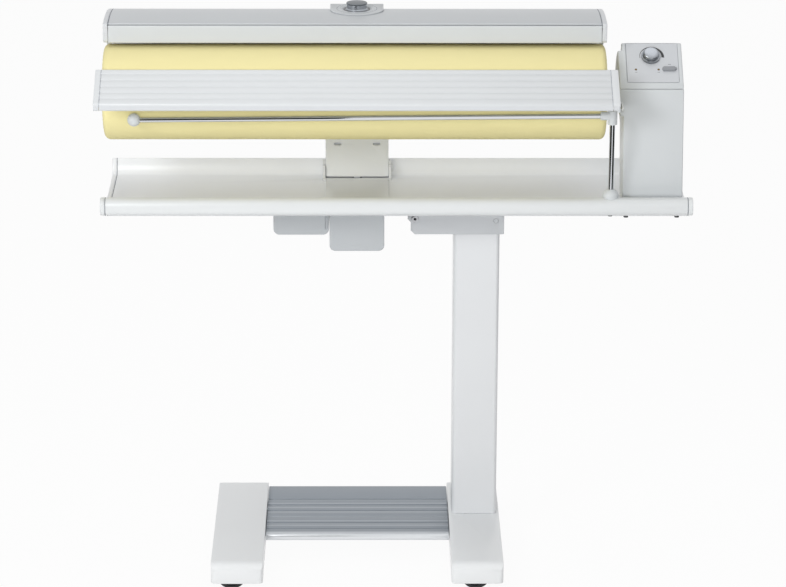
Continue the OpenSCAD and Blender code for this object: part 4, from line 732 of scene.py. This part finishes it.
# %% Waves in the cloth
PUCKERS, PUCKER_DEEP, PUCKER_R, PUCKER_FADE, END_ZONE = 45, 1.2, 76.0, 18.0, 9.0
SAG, SAG_ROUND, SAG_ALONG, SAG_SLOW, SIDE_ZONE, SIDE_R = 0.25, 5, 21, 34, 12.0, 79.0
for v in cloth.data.vertices:
    y, z = v.co.y - ROLLER_Y, v.co.z - ROLLER_Z
    r, turn = math.hypot(y, z) / MM, math.atan2(z, y)
    end = min(v.co.x - low[0], high[0] - v.co.x) / MM
    if end < END_ZONE and r < PUCKER_R:
        inward = 1 if v.co.x < 0 else -1
        wave = 0.5 + 0.5 * math.sin(PUCKERS * turn)
        v.co.x += inward * wave * PUCKER_DEEP * min(1.0, (PUCKER_R - r) / PUCKER_FADE) * MM
    elif end > SIDE_ZONE and r > SIDE_R:
        wave = math.sin(SAG_ROUND * turn + v.co.x * SAG_ALONG) * math.sin(v.co.x * SAG_SLOW)
        v.co.y -= abs(SAG * wave) * MM * math.cos(turn)
        v.co.z -= abs(SAG * wave) * MM * math.sin(turn)
print("puckers at each end:", PUCKERS)

# %% [markdown]
# ## Map of the cloth
# The map says how far along and how far round each corner lies, both in metres. A face that
# crosses the line where the angle jumps from one half turn to the other gets it carried on.

# %% Map, felt and drum
weave_map = cloth.data.uv_layers.new(name="cloth")
for face in cloth.data.polygons:
    turns = []
    for loop in face.loop_indices:
        co = cloth.data.vertices[cloth.data.loops[loop].vertex_index].co
        turns.append(math.atan2(co.z - ROLLER_Z, co.y - ROLLER_Y))
    wrap = max(turns) - min(turns) > math.pi
    for loop, turn in zip(face.loop_indices, turns):
        co = cloth.data.vertices[cloth.data.loops[loop].vertex_index].co
        turn += 2 * math.pi if wrap and turn < 0 else 0
        r = math.hypot(co.y - ROLLER_Y, co.z - ROLLER_Z)
        weave_map.data[loop].uv = (co.x + (ROLLER_R * MM - r), turn * ROLLER_R * MM)
settle(cloth, "roller_cloth", COTTON)
paint(["roller_padding"], FELT)
paint(["roller_drum"], ALLOY)
dress(["roller_shaft"], STEEL, segments=2)

# %% [markdown]
# ## Shoe and its cover
# The heated shoe is a polished plate behind the roller. Over it lies the crowned cover, a shade
# greyer than the casings. Its end caps stand a little apart, and a strip along its front keeps
# fingers out. The strip gets the widest bevel, because it is the edge that hands meet.

# %% Shoe, cover, caps and guard
dress(["ironing_shoe"], SHOE_ALLOY)
paint(["heating_elements"], HEATER)
seams("shoe_cover")
dress(["shoe_cover"], COVER_WHITE, width=1.2, segments=4)
dress(["shoe_end_caps"], CAP_WHITE, width=1.2)
dress(["finger_guard"], CASE_WHITE, width=1.4, segments=4)

# %% [markdown]
# ## Support arm
# The arm is a flat enamelled casting on two lugs. Its solid already has the slots, so it isn't
# modelled again. The wide bevel catches the light down its whole length, as the real one does.

# %% Arm and its base
# The arm wears the paler copy of the enamel, a painted highlight under the roller.
dress(["support_arm"], LIT_WHITE_ENAMEL, width=1.6)
dress(["arm_base"], WHITE_ENAMEL)

# %% [markdown]
# ## Plate under the knob
# The plate has a pressed groove and a raised bead, and a recess round the foot of the knob. Each
# is a turned ring. The recess is a dark ring of painted shade, and the groove is a grey line of
# painted shade. The plate is narrower than the rings at the rear, so they are cut there by
# Bisect.

# %% Rings on the knob plate
dress(["knob_plate"], COVER_WHITE, width=0.9)
knob = centre_of("pressure_knob")
knob_low, knob_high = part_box("pressure_knob")
plate_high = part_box("knob_plate")[1]
KNOB_R = (knob_high[0] - knob_low[0]) / 2 / MM
SHADE_GAP, SHADE_WIDE, DISH = 0.6, 4.6, 1.2
RING_EDGE, PLATE_MARGIN = 0.3, 1.5
# The first ring is painted shade in the recess, and the second is painted shade in the groove.
RINGS = [("knob_recess_shade", KNOB_R + SHADE_GAP, KNOB_R + SHADE_WIDE, -DISH, 0.3, DARK_STEEL_AND_SHADE),
         ("plate_groove_shade", 33.2, 34.4, 0.0, 0.06, PRINT_AND_SHADE_GREY),
         ("plate_bead", 28.6, 31.2, 0.0, 0.35, COVER_WHITE)]
for name, inner_r, outer_r, height, crown, finish in RINGS:
    band = [(inner_r, -RING_EDGE), (inner_r + RING_EDGE, crown), (outer_r - RING_EDGE, crown),
            (outer_r, -RING_EDGE)]
    ring = turned(name, band, (knob.x, knob.y, plate_high[2] + height * MM), closed=True)
    take(ring)
    bpy.ops.object.mode_set(mode="EDIT")
    bpy.ops.mesh.select_all(action="SELECT")
    bpy.ops.mesh.bisect(plane_co=(0, plate_high[1] - PLATE_MARGIN * MM, 0), plane_no=(0, 1, 0),
                        use_fill=True, clear_outer=True)
    bpy.ops.object.mode_set(mode="OBJECT")
    settle(ring, "knob_plate", finish, keep_node=True)

# %% [markdown]
# ## Knob
# The pressure knob is bright metal with a dark cap in its top. It is drawn as one outline and
# turned in two parts, because two materials on one skin would meet at a ragged edge.

# %% Knob and its cap
rise = (knob_high[2] - plate_high[2]) / MM
CAP_DEEP = 2.6
body_line = [(0.0, -1.2), (KNOB_R - 0.2, -1.2), (KNOB_R, -0.6), (KNOB_R - 0.3, 0.4),
             (KNOB_R - 1.6, 1.6), (KNOB_R - 1.9, rise - CAP_DEEP), (0.0, rise - CAP_DEEP)]
cap_line = [(0.0, rise - CAP_DEEP), (KNOB_R - 1.9, rise - CAP_DEEP), (KNOB_R - 0.9, rise - 1.9),
            (KNOB_R - 0.7, rise - 1.2), (KNOB_R - 1.2, rise - 0.3), (KNOB_R - 2.6, rise - 0.05),
            (0.0, rise)]
knob_foot = (knob.x, knob.y, plate_high[2])
settle(turned("pressure_knob_body", body_line, knob_foot), "pressure_knob",
       turned_metal("knob_metal", tuple(knob), UPRIGHT, 0.22, 0.8))
settle(turned("pressure_knob_cap", cap_line, knob_foot), "pressure_knob",
       satin_metal("knob_cap", (0.15, 0.165, 0.18), 0.34), keep_node=True)

# %% [markdown]
# ## Feed board
# Linen slides over this board onto the roller, so it is smooth, and five fine grooves keep the
# cloth from sticking. The caps at its ends are the same white, and the joints are pale. A fine
# bevel keeps the grooves open.

# %% Feed board and bracket
seams("feed_board", SEAM_PALE)
dress(["feed_board"], BOARD_WHITE, width=0.35, segments=2, angle=30)
dress(["feed_board_caps"], BOARD_WHITE)
dress(["feed_board_bracket"], ZINC, width=0.5, segments=2, angle=45)

# %% [markdown]
# ## Front hem of the board
# The board's front edge is rolled under, so that nothing catches on it. The hem is a bar whose
# two front edges are selected by their place and rounded by the Bevel operator. It runs on
# under both caps.

# %% Front hem
LIP_DEEP, LIP_HIGH, LIP_DROP, LIP_ROUND, LAP = 8.0, 11.0, 6.2, 3.6, 1.0
SAME_PLACE = 0.1 * MM
board_low, board_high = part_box("feed_board")
caps_low, caps_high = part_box("feed_board_caps")


def lip(name, node, x0, x1):
    y, z = board_low[1] + LIP_DEEP / 2 * MM, board_low[2] + (LIP_HIGH / 2 - LIP_DROP) * MM
    clear_selection()
    bpy.ops.mesh.primitive_cube_add(size=1, location=(x0 / 2 + x1 / 2, y, z))
    hem = bpy.context.object
    hem.name = name
    hem.scale = (x1 - x0, LIP_DEEP * MM, LIP_HIGH * MM)
    bpy.ops.object.transform_apply(location=True, rotation=False, scale=True)
    bpy.ops.object.mode_set(mode="EDIT")
    bpy.ops.mesh.select_mode(type="EDGE")
    bpy.ops.mesh.select_all(action="DESELECT")
    bpy.ops.object.mode_set(mode="OBJECT")
    for edge in hem.data.edges:
        a, b = (hem.data.vertices[i].co for i in edge.vertices)
        edge.select = abs(a.y - b.y) + abs(a.z - b.z) < SAME_PLACE and a.y < y
    bpy.ops.object.mode_set(mode="EDIT")
    bpy.ops.mesh.bevel(offset=LIP_ROUND * MM, segments=6)
    bpy.ops.object.mode_set(mode="OBJECT")
    bpy.ops.object.shade_smooth_by_angle(angle=SMOOTH_WITHIN)
    settle(hem, node, CAP_WHITE, keep_node=True)
    print(name, round((x1 - x0) / MM), "mm long")


lip("feed_board_lip", "feed_board", board_low[0] + LAP * MM, board_high[0])
lip("board_cap_lip_left", "feed_board_caps", caps_low[0], board_low[0])
lip("board_cap_lip_right", "feed_board_caps", board_high[0] + LAP * MM,
    caps_high[0] - 2 * LAP * MM)

# %% [markdown]
# ## Laundry rail
# Finished linen hangs on the chromed rod. The post stands in a domed socket on the table's rim,
# an elbow joins the two, and a ball keeps sleeves from catching on the free end. In a mirror the
# facets of a solid show, so the two tubes are turned anew. The rod falls a little towards its
# ball, and the slope is read from the vertices at the solid's tip.

# %% Rod and post
rail_low, rail_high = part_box("rail_tubes")
ROD_R = (rail_high[1] - rail_low[1]) / 2 / MM
TUBE_WALL, ELBOW_GAP, TIP = 0.8, 1.0, 2.0
rod_y = (rail_low[1] + rail_high[1]) / 2
rod_z = rail_high[2] - ROD_R * MM
post_x = rail_high[0] - ROD_R * MM


def tube(metres):
    """The outline of a tube that ends short of the elbow, metres from its far end."""
    length = metres / MM - ROD_R - ELBOW_GAP
    bore = ROD_R - TUBE_WALL
    return [(bore, 0), (ROD_R, 0), (ROD_R, length), (bore, length)]


rail = frame["nodes"]["rail_tubes"]
spots = [rail.matrix_world @ v.co for v in rail.data.vertices]
tip = [p.z for p in spots if p.x < rail_low[0] + TIP * MM]
tip_z = (min(tip) + max(tip)) / 2
span, climb = post_x - rail_low[0], rod_z - tip_z
rod_tilt = (0, QUARTER_TURN - math.atan2(climb, span), 0)
rod = turned("rail_rod", tube(math.hypot(span, climb)), (rail_low[0], rod_y, tip_z), rod_tilt,
             steps=64, closed=True)
settle(rod, "rail_tubes", CHROME)
post = turned("rail_post", tube(rod_z - rail_low[2]), (post_x, rod_y, rail_low[2]),
              steps=64, closed=True)
settle(post, "rail_tubes", CHROME, keep_node=True)
print("the rod falls", round(climb / MM, 1), "mm over", round(span / MM), "mm")
dress(["rail_fittings"], CASE_WHITE)
dress(["rail_socket"], CASE_WHITE, width=0.5)

# %% [markdown]
# ## Controls
# The panel slopes at 38 degrees. Everything on it is built flat and then laid on that slope by
# one sum, which takes a distance across, a distance up the slope and a height above it.

# %% The panel's slope
SLOPE = math.radians(38)
PANEL_Y, PANEL_Z = -10.0, 849.5


def on_panel(across, up, height=0.0):
    back = up * math.cos(SLOPE) - height * math.sin(SLOPE)
    lift = up * math.sin(SLOPE) + height * math.cos(SLOPE)
    return Vector((across * MM, (PANEL_Y + back) * MM, (PANEL_Z + lift) * MM))


print("foot of the panel:", [round(c, 4) for c in on_panel(0, 0)])

# %% [markdown]
# ## Dial
# The dial has a flat skirt with a rounded cap on it, both turned in one outline. Its metal is
# darker outside the cap.

# %% Temperature dial
DIAL_X, DIAL_UP, DIAL_CAP_R = 428.25, 57.0, 12.7
dial_seat = on_panel(DIAL_X, DIAL_UP)
dome = [(0.0, 0.35), (15.8, 0.35), (16.0, 0.7), (16.0, 2.6), (15.6, 3.1), (13.9, 3.4),
        (13.2, 4.2), (12.9, 6.8)]
dome += arc_points(8.9, 7.6, 4.0, 10, 80, 6) + [(5.0, 12.0), (0.0, 12.15)]
dial = turned("temperature_dial_cap", dome, dial_seat, (SLOPE, 0, 0))
settle(dial, "temperature_dial",
       turned_metal("dial_metal", tuple(dial_seat), (-SLOPE, 0, 0), 0.26, 0.9, DIAL_CAP_R))

# %% [markdown]
# ## Printed marks
# Printing is thin, but it has an edge that the light finds. A mark is a strip of small faces on
# the panel, lifted by the thickness of the paint. A grid gives the faces, a rule puts each
# vertex in its place, and one extrusion into the panel closes the strip.

# %% A printed strip
STRIP_FACES, PAINT_LIFT, PAINT_DEEP = 60, 0.06, 0.1
PRINT_WELD = 0.001 * MM


def printed_strip(name, outline, finish):
    """outline gives, for a share from 0 to 1, the strip's two edge points on the panel."""
    clear_selection()
    bpy.ops.mesh.primitive_grid_add(x_subdivisions=STRIP_FACES, y_subdivisions=1, size=2)
    strip = bpy.context.object
    strip.name = name
    for v in strip.data.vertices:
        first, second = outline((v.co.x + 1) / 2)
        spot = second if v.co.y > 0 else first
        v.co = on_panel(spot[0], spot[1], PAINT_LIFT)
    take(strip)
    inward = on_panel(0, 0, -PAINT_DEEP) - on_panel(0, 0)
    bpy.ops.object.mode_set(mode="EDIT")
    bpy.ops.mesh.select_all(action="SELECT")
    bpy.ops.mesh.remove_doubles(threshold=PRINT_WELD)
    bpy.ops.mesh.extrude_region_move(TRANSFORM_OT_translate={"value": (0, 0, 0)})
    bpy.ops.transform.translate(value=tuple(inward))
    bpy.ops.mesh.select_all(action="SELECT")
    bpy.ops.mesh.normals_make_consistent(inside=False)
    bpy.ops.object.mode_set(mode="OBJECT")
    settle(strip, "control_panel", finish, keep_node=True)
    print(name, "printed")


# %% [markdown]
# ## Wedge round the dial
# A wedge that grows round the dial shows which way is warmer. It follows the dial's skirt at a
# small gap, and its outer edge moves away by a power of the angle.

# %% Wedge
WEDGE_FROM, WEDGE_SWEEP = 190, 196
WEDGE_INNER, WEDGE_THIN, WEDGE_GROWTH, WEDGE_POWER = 18.0, 18.7, 3.9, 1.5


def wedge(share):
    turn = math.radians(WEDGE_FROM - WEDGE_SWEEP * share)
    outer_r = WEDGE_THIN + WEDGE_GROWTH * share ** WEDGE_POWER
    return [(DIAL_X + r * math.cos(turn), DIAL_UP + r * math.sin(turn))
            for r in (WEDGE_INNER, outer_r)]


printed_strip("warmth_wedge", wedge, MARK_BLACK)

# %% [markdown]
# ## Button and lamps
# The button is a moulded oval, and the two lamps are lenses of amber plastic that look dark
# while the machine is off. So they have a deep colour and no light of their own. A short dash is
# printed beside each.


# %% Button, lenses and dashes
def amber(name):
    cloudy = 2.0
    f = Finish(name, shade(100, 76, 12), 0.3)
    f.feed("Base Color", f.blend(f.noise(cloudy), shade(84, 62, 6), shade(124, 96, 20)))
    return f.material


def dash(x, up, length, width):
    return lambda share: [(x - length / 2 + length * share, up - width / 2),
                          (x - length / 2 + length * share, up + width / 2)]


dress(["power_button"], BUTTON_GREY)
dress(["indicator_lenses"], amber("amber_lens"), width=0.5)
DASHES = [("button_mark", 458.75, 40.5, 5.0, 0.8), ("lamp_mark_left", 402.25, 24.0, 4.0, 0.7),
          ("lamp_mark_right", 440.25, 24.0, 4.0, 0.7)]
for name, x, up, length, width in DASHES:
    printed_strip(name, dash(x, up, length, width), PRINT_AND_SHADE_GREY)

# %% [markdown]
# ## White behind the machine
# The background is white to the eye and in every mirror, but it may not light the machine. The
# Light Path node tells which ray asks, so camera, glossy and transmission rays get the white,
# and all other rays get the plain shader.


# %% Who asks for the background
def background_share(tree):
    path = tree.nodes.new("ShaderNodeLightPath")
    total = path.outputs["Is Camera Ray"]
    for kind in ("Is Glossy Ray", "Is Transmission Ray"):
        adder = tree.nodes.new("ShaderNodeMath")
        adder.operation = "ADD"
        adder.use_clamp = True
        tree.links.new(total, adder.inputs[0])
        tree.links.new(path.outputs[kind], adder.inputs[1])
        total = adder.outputs[0]
    return total


def mixed(tree, share, plain, white, out):
    mix = tree.nodes.new("ShaderNodeMixShader")
    tree.links.new(share, mix.inputs[0])
    tree.links.new(plain.outputs[0], mix.inputs[1])
    tree.links.new(white.outputs[0], mix.inputs[2])
    tree.links.new(mix.outputs[0], out.inputs[0])


# %% [markdown]
# ## Floor
# The floor is white paper. If it shone white all over, the machine would float. So a share of it
# stays dull, and keeps the faint shadow that sets the castors on the ground.

# %% Paper floor
FLOOR_WHITE, WHITE_SHARE, FLOOR_SIZE = 0.88, 0.95, 40


def studio_floor():
    material = bpy.data.materials.new("studio_floor")
    material.use_nodes = True
    tree = material.node_tree
    tree.nodes.clear()
    dull = tree.nodes.new("ShaderNodeBsdfDiffuse")
    dull.inputs["Color"].default_value = (FLOOR_WHITE, FLOOR_WHITE, FLOOR_WHITE, 1)
    white = tree.nodes.new("ShaderNodeEmission")
    white.inputs["Strength"].default_value = 1.0
    share = tree.nodes.new("ShaderNodeMath")
    share.operation = "MULTIPLY"
    share.inputs[1].default_value = WHITE_SHARE
    tree.links.new(background_share(tree), share.inputs[0])
    mixed(tree, share.outputs[0], dull, white, tree.nodes.new("ShaderNodeOutputMaterial"))
    return material


clear_selection()
bpy.ops.mesh.primitive_plane_add(size=FLOOR_SIZE, location=(0, 0, 0))
floor = bpy.context.object
floor.name = "floor"
floor.data.materials.append(studio_floor())
print("floor", FLOOR_SIZE, "m wide")

# %% [markdown]
# ## World
# A white room lights the machine evenly from all sides. Its strength is low, because the lamps
# add their share, and a pale surface has to stay below white.

# %% Light of the room
ROOM_LIGHT = 0.43
world = bpy.context.scene.world or bpy.data.worlds.new("studio")
bpy.context.scene.world = world
world.use_nodes = True
sky = world.node_tree
sky.nodes.clear()
plain = sky.nodes.new("ShaderNodeBackground")
white = sky.nodes.new("ShaderNodeBackground")
for ground, strength in ((plain, ROOM_LIGHT), (white, 1.0)):
    ground.inputs["Color"].default_value = (1, 1, 1, 1)
    ground.inputs["Strength"].default_value = strength
mixed(sky, background_share(sky), plain, white, sky.nodes.new("ShaderNodeOutputWorld"))
print("light of the room:", ROOM_LIGHT)

# %% [markdown]
# ## Lamps
# One soft lamp stands high in front on the left and shapes the machine. A low one in front
# fills the shade under the feed board, and reflections don't show it, because it would draw a
# white line along the rim and the rod. A weak one hangs above.

# %% Lamps
AIM = Vector((0, 0, 0.6))


def lamp(name, place, width, height, power):
    clear_selection()
    bpy.ops.object.light_add(type="AREA", location=place)
    light = bpy.context.object
    light.name = name
    light.data.shape = "RECTANGLE"
    light.data.size, light.data.size_y = width, height
    light.data.energy = power
    light.rotation_euler = (AIM - Vector(place)).to_track_quat("-Z", "Y").to_euler()
    print(name, power, "W")
    return light


lamp("front_lamp", (-1.9, -2.7, 2.20), 1.1, 1.0, 38)
low_lamp = lamp("low_lamp", (-0.3, -3.6, 1.32), 1.5, 0.5, 32)
low_lamp.visible_glossy = False
lamp("top_lamp", (0.2, 0.4, 3.2), 2.4, 1.6, 10)

# %% [markdown]
# ## Dark cards
# Chromium shows only what stands round it. A photographer puts black cards beside a bright rod so
# that it reads as metal. Two cards here darken the sides of the post, and one in front puts the
# dark line on the rod. They are seen by reflections alone, and cast no shadow.

# %% Cards for the chromium
BLACK_CARD = Finish("black_card", (0.01, 0.01, 0.01), 1.0).material
FACING_X, FACING_Y = (0, QUARTER_TURN, 0), (QUARTER_TURN, 0, 0)


def dark_card(name, centre, width, height, turn):
    clear_selection()
    bpy.ops.mesh.primitive_plane_add(size=1, location=centre, rotation=turn)
    card = bpy.context.object
    card.name = name
    card.scale = (width, height, 1)
    bpy.ops.object.transform_apply(location=True, rotation=True, scale=True)
    card.data.materials.append(BLACK_CARD)
    for way in ("camera", "diffuse", "transmission", "volume_scatter", "shadow"):
        setattr(card, "visible_" + way, False)
    print(name, "is", width, "by", height, "m")


dark_card("card_left", (-0.85, -0.7, 0.42), 0.84, 3.2, FACING_X)
dark_card("card_right", (1.25, -0.7, 0.42), 0.84, 3.2, FACING_X)
dark_card("card_front", (-0.65, -2.0, 1.15), 1.1, 2.1, FACING_Y)

# %% [markdown]
# ## Camera
# The camera stands about five metres in front and over two metres up. Its place, its three
# angles in radians and its lens could be tried by eye, but they pull on one another. So they
# were worked out together from edges whose real sizes are known.

# %% Camera
CAMERA_PLACE = (-0.049748, -5.191103, 2.251636)
PAN, DOWN, ROLL = -0.0090445, 0.329410, 0.0027904
LENS, SENSOR, FAR = 147.35, 36.0, 60.0
aim = (Matrix.Rotation(PAN, 3, "Z") @ Matrix.Rotation(QUARTER_TURN - DOWN, 3, "X")
       @ Matrix.Rotation(ROLL, 3, "Z"))
clear_selection()
bpy.ops.object.camera_add(location=CAMERA_PLACE, rotation=aim.to_euler())
camera = bpy.context.object
camera.data.sensor_width = SENSOR
camera.data.lens = LENS
camera.data.clip_end = FAR
bpy.context.scene.camera = camera
bpy.context.scene.view_settings.view_transform = "Standard"
print("lens", LENS, "mm")
